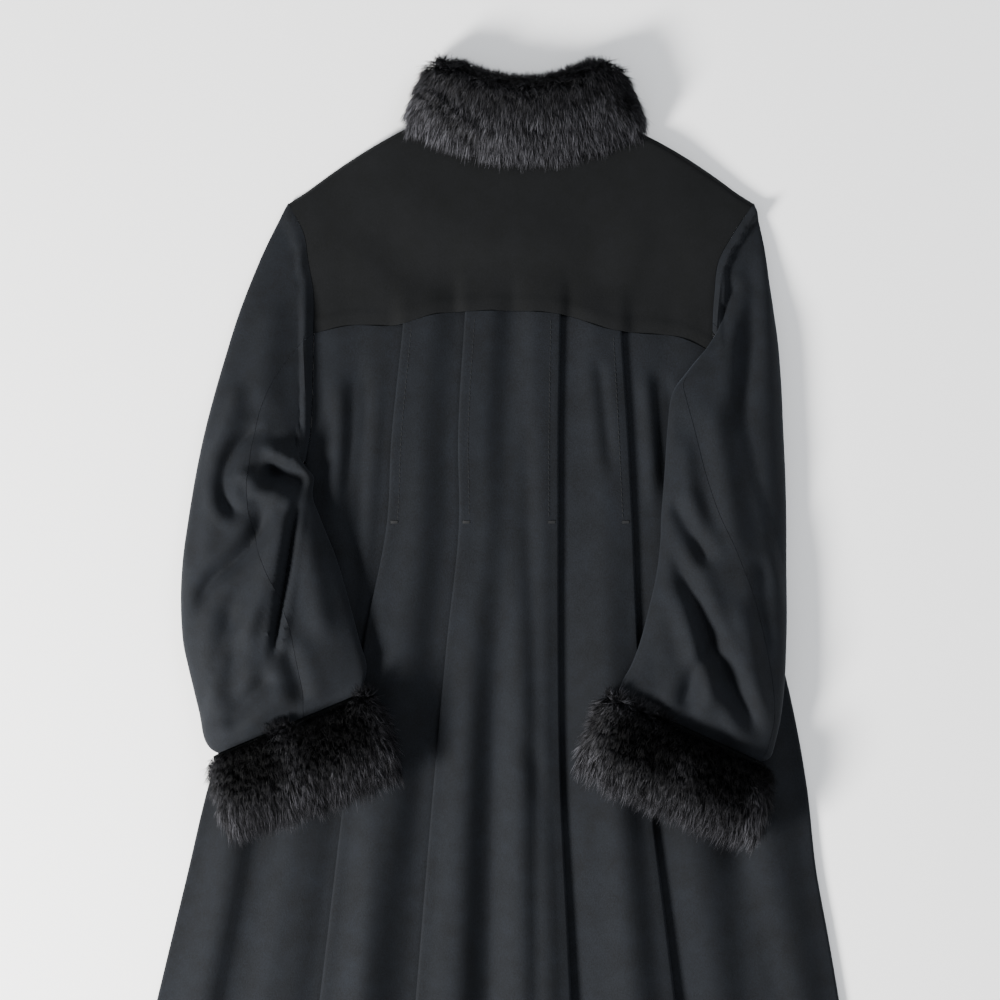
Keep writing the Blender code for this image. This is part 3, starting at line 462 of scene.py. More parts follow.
def build_front(side):
    """One front: lapped at the middle, rolled up along the shoulder and along the side seam."""
    plan = front_plan(side)
    level = front_level(plan[..., 0], plan[..., 1])
    if side == "left":
        climb = between(*LAP_CLIMBS, neck_distance(plan[..., 0], plan[..., 1]))
        lap = LAP + LAP_CLIMB * climb * (1 - climb)
        columns = np.arange(plan.shape[1])
        level = level + lap * between(LAPPED_COLUMN - 2 * LAP_STEP_CELLS, LAPPED_COLUMN, columns)
    on_shoulder = np.abs(plan[0, :, 0] - NECK_ACROSS) > NECK_HALF + 1
    shoulder_radius = (back_level(plan[0, :, 0], plan[0, :, 1]) - level[0]) / 2
    inset = np.linalg.norm(plan - plan[0], axis=-1) * SHOULDER_ROLL
    level = level + roll_drop(inset, shoulder_radius) * on_shoulder
    level[0] -= np.where(on_shoulder, SEAM / 2, 0.0)
    rolled = below_underarm(side, plan[:, 0, 1])
    radius = (BACK_LEVEL - FRONT_LEVEL) / 2
    outer_across = plan[:, 0, 0].copy()
    for column, angle in enumerate(np.linspace(0, math.pi / 2, ROLL_STEPS + 1)):
        rolled_across = outer_across - OUTWARD[side] * (WALL / 2 + radius * (1 - math.cos(angle)))
        plan[:, column, 0] += rolled * (rolled_across - plan[:, column, 0])
        level[:, column] += rolled * (radius * (1 - math.sin(angle)) - (SEAM / 2 if column == 0 else 0))
    middle = np.dstack([plan, level])
    normals = surface_normals(middle)
    square_top(normals[0], on_shoulder)
    normals[:, 0] = square_side(normals[:, 0], side, plan[:, 0, 1], plan[:, 0, 1])
    return sew(f"front_{side}_cloth", middle, normals, body_melton)


front_right = build_front("right")
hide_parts("front_right")
front_left = build_front("left")
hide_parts("front_left")

# Back yoke
# One shaped panel of the same melton from the neckline to a curved seam across the shoulder blades. It is sewn
# to the fronts over the shoulder pads. Its melton is drawn darker and less blue than the body's: painted shade
# and warmer light on the top of the back, which lies farther from the key light.

# The yoke's melton is a darker, less blue copy of the body's: painted shade for the top of the back
yoke_melton_painted_shade = wool_melton("wool_melton_yoke_painted_shade", "#040505", "#0B0C0E", "#989EAA", 0.04)

YOKE_SEAM = table(
    "across down",
    (-187, 333),
    (-150, 325),
    (-105, 325),
    (-65, 314),
    (-25, 311),
    (25, 311),
    (70, 316),
    (105, 328),
    (140, 333),
    (180, 337),
    (214, 352),
)
YOKE_ENDS = {"left": 333.0, "right": 352.0}
TUCKS = table(
    "down outer_left inner_left inner_right outer_right",
    (311, -96, -34, 60, 121),
    (440, -108, -41, 58, 128),
    (521, -112, -40, 58, 132),
    (640, -135, -52, 58, 137),
    (780, -153, -65, 60, 148),
    (948, -173, -79, 68, 168),
    (1315, -217, -109, 85, 212),
)
FACING = {"outer_left": -1, "inner_left": -1, "inner_right": 1, "outer_right": 1}
TACK_DOWN = 521.0
TUCK_STEP = 2.8
TUCK_STEP_HEM = 5.0
TUCK_OPENS = (760.0, 1200.0)
TUCK_DEPTH = 20.0
TUCK_DEPTH_HEM = 42.0
# A tuck lifts the cloth over it from outside its fold edge to past its inner one
LIFT_STARTS = (-13, 1)
LIFT_ENDS = (3, 40)
# The yoke is lifted over the tops of the tucks too, for this far above its seam
YOKE_LIFTED = 52.0
YOKE_LIFT_DOWN = 320.0
# The seam allowance is pressed up, and shows as a low ridge this far above the yoke seam
ALLOWANCE = 11.0
ALLOWANCE_HEIGHT = 0.55
ALLOWANCE_HALF = 3.2
# Both sides of the yoke seam are drawn in by its stitches
SEAM_DIP = 0.7
SEAM_DIP_HALF = 2.6


def yoke_seam(across):
    return through(YOKE_SEAM["across"], YOKE_SEAM["down"], across)


def tuck_sizes(down):
    step = TUCK_STEP + (TUCK_STEP_HEM - TUCK_STEP) * between(*TUCK_OPENS, down)
    depth = TUCK_DEPTH + (TUCK_DEPTH_HEM - TUCK_DEPTH) * between(TACK_DOWN, HEM_DOWN, down)
    return step, depth


def tuck_lift(across, down):
    """How far the stacked tucks lift the cloth that lies over them, just inside each fold edge."""
    step, depth = tuck_sizes(down)
    lift = np.zeros(np.broadcast(across, down).shape)
    for name, facing in FACING.items():
        inside = (across - through(TUCKS["down"], TUCKS[name], down)) * -facing
        past = between(depth + LIFT_ENDS[0], depth + LIFT_ENDS[1], inside)
        over = between(*LIFT_STARTS, inside) * (1 - past)
        lift = np.maximum(lift, 2 * step * over)
    return lift


def bump(value, middle, half_width):
    return np.exp(-(((value - middle) / half_width) ** 2))


# A crease fades in and out over this share of its length, and has a low lip on each side
CREASE_FADE = 0.22
CORNER_CUTS = 2
LIP_SHARE = 0.28
LIP_PLACE = 2.1


def crease_height(across, down, path, half_width, height):
    """A soft trough (height below zero) or ridge along a path of three or more points."""
    path = np.array(path, float)
    for _ in range(CORNER_CUTS):
        corners = [path[0]]
        for start, end in zip(path[:-1], path[1:]):
            corners += [start * 0.75 + end * 0.25, start * 0.25 + end * 0.75]
        path = np.array(corners + [path[-1]])
    marks = fractions(path)
    nearest = np.full(np.shape(across), np.inf)
    along = np.zeros(np.shape(across))
    for i, (start, end) in enumerate(zip(path[:-1], path[1:])):
        run, rise = end - start
        t = np.clip(((across - start[0]) * run + (down - start[1]) * rise) / (run * run + rise * rise), 0, 1)
        distance = np.hypot(across - start[0] - t * run, down - start[1] - t * rise)
        along = np.where(distance < nearest, marks[i] + t * (marks[i + 1] - marks[i]), along)
        nearest = np.minimum(nearest, distance)
    fade = between(0, CREASE_FADE, along) * between(0, CREASE_FADE, 1 - along)
    near = nearest / half_width
    return height * fade * (bump(near, 0, 1) - LIP_SHARE * bump(near, LIP_PLACE, 1))


def creased(across, down, creases):
    """What all the creases of a panel add to its height."""
    return sum(crease_height(across, down, *crease) for crease in creases)


# Soft creases of the yoke: path, half width and height
YOKE_CREASES = (
    (((-150, 235), (-120, 275), (-96, 318)), 16, 1.2),
    (((30, 190), (34, 250), (28, 305)), 26, 0.9),
    (((150, 215), (128, 262), (121, 322)), 15, 1.3),
    (((196, 250), (176, 292), (170, 330)), 12, -1.0),
    (((-60, 205), (-48, 255), (-52, 305)), 20, -0.8),
    (((84, 200), (92, 250), (86, 312)), 18, -0.8),
    (((-172, 262), (-160, 300), (-158, 326)), 10, -0.9),
)

# The creases keep clear of the armholes, by these shares of the width, and of the yoke seam
CREASED_SHARE = (0.03, 0.12)
YOKE_SEAM_CLEAR = 14.0
# Rows of the yoke's grid, closer together over the rolled shoulders
YOKE_ROWS = np.concatenate([np.linspace(0, 0.16, 12)[:-1], np.linspace(0.16, 1, 44)])


def build_yoke():
    neck_across = neck_samples(0, NECK_CELLS)
    neckline = np.column_stack([neck_across, back_neck(neck_across)])
    shoulders = {side: shoulder(side, SHOULDER_CELLS) for side in ("left", "right")}
    top = np.concatenate([shoulders["left"], neckline, shoulders["right"][::-1]])
    share = fractions(top)
    bottom_across = edge("left", YOKE_ENDS["left"]) * (1 - share) + edge("right", YOKE_ENDS["right"]) * share
    bottom = np.column_stack([bottom_across, yoke_seam(bottom_across) - SEAM])
    sides = {}
    for side in ("left", "right"):
        downs = TIP_DOWN + (yoke_seam(edge(side, YOKE_ENDS[side])) - SEAM - TIP_DOWN) * YOKE_ROWS
        sides[side] = edge_points(side, downs)
    plan = ease_tips(patch(top, bottom, sides["left"], sides["right"]))
    across, down = plan[..., 0], plan[..., 1]
    level = back_level(across, down)
    from_seam = plan[-1, :, 1] - down
    lift = tuck_lift(across, np.full(level.shape, YOKE_LIFT_DOWN))
    level = level + between(YOKE_LIFTED, 0, from_seam) * lift
    level = level + ALLOWANCE_HEIGHT * bump(from_seam, ALLOWANCE, ALLOWANCE_HALF)
    level = level - SEAM_DIP * bump(from_seam, 0, SEAM_DIP_HALF)
    inner = between(*CREASED_SHARE, share)[None, :] * between(*CREASED_SHARE, 1 - share)[None, :]
    level = level + creased(across, down, YOKE_CREASES) * inner * between(0, YOKE_SEAM_CLEAR, from_seam)
    on_shoulder = (neck_across[0] > plan[0, :, 0] + 1) | (neck_across[-1] < plan[0, :, 0] - 1)
    radius = (level[0] - front_level(plan[0, :, 0], plan[0, :, 1])) / 2
    inset = np.linalg.norm(plan - plan[0], axis=-1) * SHOULDER_ROLL
    level = level - roll_drop(inset, radius) * on_shoulder
    level[0] += np.where(on_shoulder, SEAM / 2, 0.0)
    middle = np.dstack([plan, level])
    normals = surface_normals(middle)
    normals[-1] = square(normals[-1], (0, 1, 0))
    square_top(normals[0], on_shoulder)
    for column, side in ((0, "left"), (-1, "right")):
        normals[:, column] = square(normals[:, column], seam_crossing(side, plan[:, column, 1]))
    return sew("back_yoke_cloth", middle, normals, yoke_melton_painted_shade), middle, normals


back_yoke, yoke_middle, yoke_normals = build_yoke()
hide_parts("back_yoke")

# Back skirt
# One flared panel of melton below the yoke. Four knife tucks, whose folds face the side seams, are stitched
# down for 200 mm and then open into soft folds that run to the hem.

TURN_ANGLES = np.radians(np.linspace(-90, 90, 7))
SKIRT_ROWS = np.linspace(311, HEM_DOWN, 172)
# The cloth between two tucks swells by 1 mm at the top and 9 mm below
SWELL = 1.0
SWELL_GROWS = 8.0
SWELL_DOWN = (430, 800)
# Creases fade in between these shares of a stretch's width, and sink no deeper than this below the cloth
STRETCH_CLEAR = (0.02, 0.16)
DEEPEST_SINK = 1.6
EDGE_CELLS = 28
TUCK_CELLS = 22
# Soft creases between the tucks: path, half width and height
SKIRT_CREASES = (
    (((-138, 335), (-143, 430), (-150, 520), (-143, 600), (-128, 690)), 9, -5.0),
    (((-163, 355), (-160, 450), (-168, 530)), 9, 4.0),
    (((-128, 560), (-165, 640), (-182, 760), (-215, 948), (-262, 1290)), 14, -2.6),
    (((160, 345), (165, 410), (172, 500)), 8, -5.0),
    (((145, 338), (149, 420), (152, 520)), 7, 3.0),
    (((98, 336), (104, 400), (112, 480)), 6, -3.0),
    (((196, 700), (230, 800), (270, 948), (320, 1290)), 12, -3.0),
    (((-70, 360), (-76, 500), (-92, 700), (-120, 948)), 12, 1.4),
    (((4, 400), (8, 560), (9, 760), (6, 1000), (0, 1290)), 14, 5.0),
    (((27, 325), (29, 520), (34, 700), (36, 1000), (38, 1300)), 8, -3.5),
    (((95, 360), (92, 520), (98, 760), (110, 1000), (128, 1300)), 13, -1.8),
    (((-250, 830), (-282, 960), (-335, 1290)), 14, 2.6),
    (((-232, 760), (-250, 860), (-300, 1120)), 8, -2.0),
    (((-140, 720), (-128, 860), (-150, 1100), (-166, 1290)), 12, 2.4),
    (((6, 700), (60, 820), (72, 948)), 10, -1.2),
    (((118, 640), (122, 800), (140, 1000), (160, 1290)), 12, 2.0),
    (((250, 800), (262, 948), (300, 1290)), 12, 2.4),
)


def tuck_section(fold_edge, facing, depth, step, level):
    """One knife tuck as a folded line from its lower layer to its upper layer."""
    half = step / 2
    turn_across = half * np.cos(TURN_ANGLES)
    turn_up = half * np.sin(TURN_ANGLES)
    under = np.column_stack([fold_edge + depth + turn_across, level + half + turn_up])
    over = np.column_stack([fold_edge + half - turn_across, level + 3 * half + turn_up])
    section = np.concatenate([under, over])
    if facing > 0:
        section[:, 0] = 2 * fold_edge - section[:, 0]
        return section[::-1]
    return section


def side_roll(side, down, level, front):
    """The body's edge: a flat cut along the armhole, and a rolled side seam below it."""
    rolled = below_underarm(side, down)
    radius = (level - front) / 2
    angles = np.linspace(0, math.pi / 2, ROLL_STEPS + 1)
    flat_inset = radius * np.arange(ROLL_STEPS + 1) / ROLL_STEPS
    inset = rolled * (WALL / 2 + radius * (1 - np.cos(angles))) + (1 - rolled) * flat_inset
    drop = rolled * (radius * (1 - np.sin(angles)))
    drop[0] -= rolled * SEAM / 2
    return inset, drop


def skirt_section(down):
    """The whole back at one level below the yoke, from its left edge to its right one."""
    step, depth = (float(size) for size in tuck_sizes(down))
    swell = float(SWELL + SWELL_GROWS * between(*SWELL_DOWN, down))
    folds = {name: float(through(TUCKS["down"], TUCKS[name], down)) for name in FACING}
    left, right = float(edge("left", down)), float(edge("right", down))
    left_level, right_level = float(back_level(left, down)), float(back_level(right, down))
    left_inset, left_drop = side_roll("left", down, left_level, FRONT_LEVEL)
    right_inset, right_drop = side_roll("right", down, right_level, FRONT_LEVEL)
    parts = [np.column_stack([left + left_inset, left_level - left_drop])]

    def stretch(start, end, cells, start_lift, end_lift, bumps, shown_start, shown_end):
        """Cloth between two tucks: lifted where it lies over their folds, with soft swells between."""
        across = np.linspace(start, end, cells + 2)[1:-1]
        reach = (shown_end - shown_start) * (0.48 if start_lift and end_lift else 0.94)
        lift = start_lift * (1 - between(depth + 2, max(reach, depth + 12), across - start))
        lift = lift + end_lift * (1 - between(depth + 2, max(reach, depth + 12), end - across))
        share = np.clip((across - shown_start) / (shown_end - shown_start), 0, 1)
        height = back_level(across, down) + lift + swell * np.sin(math.pi * bumps * share) ** 2
        crease = creased(across, np.full(len(across), down), SKIRT_CREASES)
        clear = between(*STRETCH_CLEAR, share) * between(*STRETCH_CLEAR, 1 - share)
        lowest = back_level(across, down) - DEEPEST_SINK
        return np.column_stack([across, np.maximum(height + crease * clear, lowest)])

    def tuck(name):
        return tuck_section(folds[name], FACING[name], depth, step, float(back_level(folds[name], down)))

    top, half = 2 * step, step / 2
    far_left, near_left, near_right, far_right = folds.values()
    edge_in, edge_out = left + left_inset[-1], right - right_inset[-1]
    parts += [
        stretch(edge_in, far_left + depth, EDGE_CELLS, 0, 0, 2, edge_in, far_left - 5),
        tuck("outer_left"),
        stretch(far_left + half, near_left + depth, TUCK_CELLS, top, 0, 1, far_left, near_left - 5),
        tuck("inner_left"),
        stretch(near_left + half, near_right - half, EDGE_CELLS, top, top, 2, near_left, near_right),
        tuck("inner_right"),
        stretch(near_right - depth, far_right - half, TUCK_CELLS, 0, top, 1, near_right + 5, far_right),
        tuck("outer_right"),
        stretch(far_right - depth, edge_out, EDGE_CELLS, 0, 0, 2, far_right + 5, edge_out),
        np.column_stack([right - right_inset, right_level - right_drop])[::-1],
    ]
    return np.concatenate(parts)


def build_skirt():
    sections = np.array([skirt_section(down) for down in SKIRT_ROWS])
    middle = np.empty(sections.shape[:2] + (3,))
    middle[..., 0] = sections[..., 0]
    middle[..., 2] = sections[..., 1]
    share = (SKIRT_ROWS - SKIRT_ROWS[0]) / (SKIRT_ROWS[-1] - SKIRT_ROWS[0])
    near_top = (1 - between(0.0, 0.16, share))[:, None]
    seam_fall = (yoke_seam(sections[..., 0]) - SKIRT_ROWS[0]) * near_top
    middle[..., 1] = SKIRT_ROWS[:, None] + seam_fall - hem_lift(sections[..., 0]) * share[:, None] ** 2
    from_seam = middle[..., 1] - middle[0, :, 1]
    middle[..., 2] -= SEAM_DIP * bump(from_seam, 0, SEAM_DIP_HALF)
    normals = surface_normals(middle)
    normals[0] = square(normals[0], (0, 1, 0))
    for column, side in ((0, "left"), (-1, "right")):
        normals[:, column] = square_side(normals[:, column], side, middle[:, column, 1], SKIRT_ROWS)
    return sew("back_skirt_cloth", middle, normals, body_melton), middle, normals


back_skirt, skirt_middle, skirt_normals = build_skirt()
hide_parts("back_skirt")

# Tuck stitching
# Black polyester thread in 4 mm lockstitches, 9 mm inside each fold edge, from the yoke seam to a bar tack
# that holds the tuck where it opens.

STITCH = 4.2
STITCH_PITCH = 5.2
STITCH_INSIDE = 9.0
STITCH_RADIUS = 0.32
STITCH_LIFT = 0.12
# From the yoke seam to the first stitch, and from the last one to the bar tack
STITCH_START = 7.0
STITCH_END = 2.0
# A bar tack is five close bars across the tuck, from near its fold edge to just past the stitching
TACK_BARS = 5
TACK_PITCH = 0.55
TACK_FROM = 2.0
TACK_PAST = 1.5
TACK_RADIUS = 0.4
TACK_LIFT = 0.2
ABOVE_ALL = 0.3
back_tree = BVHTree.FromObject(back_skirt, bpy.context.evaluated_depsgraph_get())


def thread_end(across, down, lift):
    """Where a thread ends on top of the laid back, lifted off the cloth, in metres."""
    x, y = (across - MIDDLE_ACROSS) * MM, (MIDDLE_DOWN - down) * MM
    place, normal, _, _ = back_tree.ray_cast(Vector((x, y, ABOVE_ALL)), Vector((0, 0, -1)))
    return np.array(place + normal * (lift * MM))


# Spun polyester thread: two twisted plies, which look like one smooth black stitch with a faint gloss
polyester_thread, _, _ = surface_finish(
    "polyester_thread_black", Base_Color=linear("#0E0F11"), Roughness=0.55, Specular_IOR_Level=0.4
)


def thread_bar(start, end, radius, sides=6):
    """Points and faces of one short stitch with pointed ends."""
    run = end - start
    cross_way = unit(np.cross(run, (0, 0, 1.0)))
    up = unit(np.cross(cross_way, run))
    points = [start]
    for share in (0.18, 0.82):
        for k in range(sides):
            angle = 2 * math.pi * k / sides
            points.append(start + run * share + radius * (cross_way * math.cos(angle) + up * math.sin(angle)))
    points.append(end)
    last = 2 * sides + 1
    faces = []
    for k in range(sides):
        following = (k + 1) % sides
        faces.append((0, 1 + following, 1 + k))
        faces.append((1 + k, 1 + following, 1 + sides + following, 1 + sides + k))
        faces.append((last, 1 + sides + k, 1 + sides + following))
    return np.array(points), faces


def build_stitching():
    points, faces = [], []
    count = 0
    for name, facing in FACING.items():
        bars = []
        down = float(yoke_seam(TUCKS[name][0] - facing * STITCH_INSIDE)) + STITCH_START
        while down + STITCH < TACK_DOWN - STITCH_END:
            ends = []
            for place_down in (down, down + STITCH):
                across = float(through(TUCKS["down"], TUCKS[name], place_down)) - facing * STITCH_INSIDE
                ends.append(thread_end(across, place_down, STITCH_LIFT))
            bars.append((ends[0], ends[1], STITCH_RADIUS))
            down += STITCH_PITCH
        fold_across = float(through(TUCKS["down"], TUCKS[name], TACK_DOWN))
        for k in range(TACK_BARS):
            ends = []
            for inside in (TACK_FROM, STITCH_INSIDE + TACK_PAST):
                ends.append(thread_end(fold_across - facing * inside, TACK_DOWN + TACK_PITCH * k, TACK_LIFT))
            bars.append((ends[0], ends[1], TACK_RADIUS))
        for start, end, radius in bars:
            bar_points, bar_faces = thread_bar(start, end, radius * MM)
            points.append(bar_points)
            faces += [tuple(index + count for index in face) for face in bar_faces]
            count += len(bar_points)
    return make_piece("tuck_stitching", np.concatenate(points), faces, polyester_thread)


tuck_stitching = build_stitching()

# Sleeves
# Two-piece tailored sleeves of melton, an outer and an under part seamed along the back and the fore arm, and
# set into the armholes. They lie bent over the back, and crease at the elbows.

LAYER_GAP = 0.6
ARMHOLE_GAP = 0.4
SLEEVE_SEAM_GAP = 0.4
SLEEVE = {
    "left": table(
        "outer_across outer_down inner_across inner_down crown lift seam",
        (-213, 204, -195, 460, 5, 0, 0.50),
        (-238, 255, -200, 464, 12, 0, 0.46),
        (-260, 310, -199, 468, 17, 0, 0.43),
        (-275, 358, -192, 472, 20, 0, 0.42),
        (-287, 400, -187, 477, 23, 0, 0.43),
        (-297, 440, -187, 483, 26, 0, 0.44),
        (-305, 480, -188, 491, 28, 0, 0.46),
        (-312, 523, -187, 501, 30, 0, 0.50),
        (-317, 560, -182, 514, 31, 0, 0.54),
        (-319, 600, -175, 532, 31, 0, 0.58),
        (-317, 640, -165, 557, 30, 0, 0.62),
        (-312, 665, -157, 582, 29, 0, 0.64),
        (-306, 690, -149, 611, 28, 0, 0.64),
        (-300, 715, -141, 640, 27, 0, 0.63),
        (-295, 737, -134, 664, 26, 0, 0.62),
        (-288, 747, -136, 680, 16, 4, 0.61),
        (-279, 751, -139, 692, 5.5, 10, 0.60),
    ),
    "right": table(
        "outer_across outer_down inner_across inner_down crown lift seam",
        (255, 204, 213, 330, 5, 0, 0.93),
        (260, 225, 218, 338, 7, 0, 0.94),
        (265, 250, 213, 347, 11, 0, 0.95),
        (269, 280, 198, 360, 17, 0, 0.955),
        (274, 315, 185, 376, 21, 0, 0.95),
        (278, 345, 176, 388, 24, 0, 0.93),
        (281, 385, 171, 402, 26, 0, 0.87),
        (283, 430, 168, 430, 27, 0, 0.78),
        (285, 475, 165, 475, 28, 0, 0.67),
        (286, 520, 162, 516, 29, 0, 0.54),
        (286, 560, 161, 543, 30, 0, 0.41),
        (286, 600, 157, 575, 30, 0, 0.28),
        (285, 640, 150, 606, 30, 0, 0.18),
        (283, 680, 141, 640, 29, 0, 0.10),
        (279, 715, 132, 664, 28, 0, 0.05),
        (273, 742, 124, 678, 26, 0, 0.04),
        (268, 755, 120, 687, 16, 4, 0.04),
        (258, 759, 118, 695, 5.5, 10, 0.05),
    ),
}
# Creases of the sleeves: path, half width and height
SLEEVE_CREASES = {
    "left": (
        (((-238, 470), (-216, 475), (-190, 486)), 10, -20),
        (((-232, 422), (-262, 442), (-278, 474), (-274, 506), (-248, 518)), 7, -9),
        (((-231, 503), (-240, 535), (-262, 560), (-290, 580), (-306, 620)), 8, -13),
        (((-210, 500), (-220, 550), (-240, 612), (-270, 656)), 9, 7),
        (((-200, 490), (-206, 530), (-213, 575), (-220, 620), (-226, 664)), 4.0, -12),
        (((-240, 446), (-218, 456), (-190, 464)), 7, 4),
        (((-258, 468), (-244, 486), (-240, 500)), 8, 5),
        (((-276, 728), (-244, 693), (-225, 668)), 9, -8),
        (((-225, 290), (-232, 350), (-240, 420)), 15, 4),
        (((-258, 380), (-274, 430), (-294, 478)), 9, 6),
        (((-192, 508), (-184, 575), (-170, 645)), 12, 7),
        (((-262, 600), (-262, 660), (-268, 715)), 10, -5),
        (((-290, 590), (-292, 660), (-284, 725)), 11, 5),
        (((-214, 640), (-200, 680), (-194, 705)), 8, -5),
        (((-300, 470), (-306, 520), (-310, 570)), 9, -5),
    ),
    "right": (
        (((239, 276), (219, 325), (203, 350)), 8, -6),
        (((255, 244), (251, 316), (244, 384), (233, 446)), 10, -6),
        (((166, 494), (188, 528), (208, 570)), 8, -9),
        (((166, 536), (203, 634), (266, 750)), 9, -12),
        (((207, 636), (192, 676), (177, 714)), 8, -7),
        (((270, 290), (272, 400), (268, 520)), 12, 4),
        (((206, 392), (222, 470), (238, 570)), 12, 5),
        (((180, 430), (186, 490), (196, 546)), 9, 5),
        (((230, 590), (252, 670), (264, 725)), 10, 5),
        (((178, 580), (196, 660), (214, 720)), 9, 6),
        (((258, 550), (262, 610), (270, 665)), 8, -5),
    ),
}
MAP_ACROSS = (-440.0, 420.0)
MAP_DOWN = (100.0, 1330.0)
MAP_CELL = 4.0


def top_of(surfaces):
    """Highest cloth over each cell of a plan map, from the outer faces of the given walls."""
    columns = int((MAP_ACROSS[1] - MAP_ACROSS[0]) / MAP_CELL) + 1
    rows = int((MAP_DOWN[1] - MAP_DOWN[0]) / MAP_CELL) + 1
    heights = np.zeros((rows, columns))
    for middle, normals in surfaces:
        for face in (middle + normals * WALL / 2, middle - normals * WALL / 2):
            for s in np.linspace(0, 1, 4):
                for t in np.linspace(0, 1, 4):
                    upper = face[:-1, :-1] * (1 - t) + face[:-1, 1:] * t
                    lower = face[1:, :-1] * (1 - t) + face[1:, 1:] * t
                    spots = (upper * (1 - s) + lower * s).reshape(-1, 3)
                    column = np.round((spots[:, 0] - MAP_ACROSS[0]) / MAP_CELL).astype(int)
                    row = np.round((spots[:, 1] - MAP_DOWN[0]) / MAP_CELL).astype(int)
                    kept = (row >= 0) & (row < rows) & (column >= 0) & (column < columns)
                    np.maximum.at(heights, (row[kept], column[kept]), spots[kept, 2])
    return heights


def spread(heights, reach):
    """The map with each height carried out to its neighbours within reach."""
    cells = int(math.ceil(reach / MAP_CELL))
    result = heights.copy()
    for down in range(-cells, cells + 1):
        for across in range(-cells, cells + 1):
            if down * down + across * across <= cells * cells:
                result = np.maximum(result, np.roll(heights, (down, across), (0, 1)))
    return result


def soften(heights, rounds):
    for _ in range(rounds):
        around = sum(np.roll(heights, shift, (0, 1)) for shift in ((1, 0), (-1, 0), (0, 1), (0, -1)))
        heights = (heights * 2 + around) / 6
    return heights


def read_map(heights, across, down):
    column = np.clip((across - MAP_ACROSS[0]) / MAP_CELL, 0, heights.shape[1] - 1.001)
    row = np.clip((down - MAP_DOWN[0]) / MAP_CELL, 0, heights.shape[0] - 1.001)
    c, r = column.astype(int), row.astype(int)
    s, t = column - c, row - r
    upper = heights[r, c] * (1 - s) + heights[r, c + 1] * s
    lower = heights[r + 1, c] * (1 - s) + heights[r + 1, c + 1] * s
    return upper * (1 - t) + lower * t


laid_back = top_of([(yoke_middle, yoke_normals), (skirt_middle, skirt_normals)])
near_map = spread(laid_back, 8.0)
wide_map = soften(spread(laid_back, 20.0), 2)
# Where a map is lower than this, a sleeve lies past the body, on the table
BARE_TABLE = 0.5
RING_POINTS = 120
FORE_SEAM_COLUMN = 65
RING_ROWS = {"left": np.linspace(0, 16, 150), "right": np.linspace(0, 17, 158)}
# Rows of the sleeve's table between which it leaves the armhole's curve, settles on the back and gains height
ARMHOLE_FADES = (0, 4)
SLEEVE_SETTLES = (2.5, 5)
SLEEVE_RISES = (-0.02, 0.55)
# A section's corners are round, its top is nearly flat, and creases leave at least this many walls inside it
SLEEVE_CORNER = 5.0
SLEEVE_SQUARENESS = 0.7
SLEEVE_STEADY = 0.5
SLEEVE_LEAST = 1.2
SLEEVE_EASE = 3.0


def sleeve_ring(side, row):
    """Middle points of one sleeve section, all the way round from the back seam."""
    stations = SLEEVE[side]
    keys = np.arange(len(stations["crown"]), dtype=float)
    at = {name: float(through(keys, stations[name], row)) for name in stations}
    start = math.acos(1 - 2 * at["seam"])
    angles = start + np.arange(RING_POINTS) * 2 * math.pi / RING_POINTS
    share = (1 - np.cos(angles)) / 2
    on_top = np.sin(angles) > 0
    outer = np.array([at["outer_across"], at["outer_down"]])
    inner = np.array([at["inner_across"], at["inner_down"]])
    plan = outer + (inner - outer) * share[:, None]
    width = np.linalg.norm(inner - outer)
    armhole_down = TIP_DOWN + (UNDERARM_DOWN[side] - TIP_DOWN) * share - 1.5 * (1 - share) ** 8
    armhole = edge_points(side, armhole_down) + seam_crossing(side, armhole_down)[:, :2] * ARMHOLE_GAP
    first_outer = np.array([stations["outer_across"][0], stations["outer_down"][0]])
    first_inner = np.array([stations["inner_across"][0], stations["inner_down"][0]])
    chord = first_outer + (first_inner - first_outer) * share[:, None]
    plan = plan + (armhole - chord) * float(1 - between(*ARMHOLE_FADES, row))
    from_end = np.minimum(share, 1 - share) * width
    across, down = plan[:, 0], plan[:, 1]
    settled = float(between(*SLEEVE_SETTLES, row))
    under = read_map(near_map, across, down) * (1 - settled) + read_map(wide_map, across, down) * settled
    base = np.where(under > BARE_TABLE, under + LAYER_GAP, 0) + WALL / 2 + at["lift"]
    corner = min(SLEEVE_CORNER, at["crown"] / 2)
    lower = base + roll_drop(from_end, corner)
    fullness = np.abs(np.sin(angles)) ** SLEEVE_SQUARENESS
    crease = creased(across, down, SLEEVE_CREASES[side]) * fullness**2 * float(between(0, 2, row))
    level_base = base + SLEEVE_STEADY * fullness * (base.mean() - base)
    upper = level_base + corner + (at["crown"] - corner) * fullness + crease
    least = lower + SLEEVE_LEAST * WALL * fullness
    upper = least + 0.5 * ((upper - least) + np.sqrt((upper - least) ** 2 + SLEEVE_EASE**2 * fullness))
    body_upper = back_level(armhole[:, 0], armhole[:, 1])
    body_lower = front_level(armhole[:, 0], armhole[:, 1])
    drop = roll_drop(from_end, (body_upper - body_lower) / 2)
    rising = float(between(*SLEEVE_RISES, row)) if row > 0 else 0.0
    upper = (body_upper - drop) * (1 - rising) + upper * rising
    lower = (body_lower + drop) * (1 - rising) + lower * rising
    return np.column_stack([plan, np.where(on_top, upper, lower)])


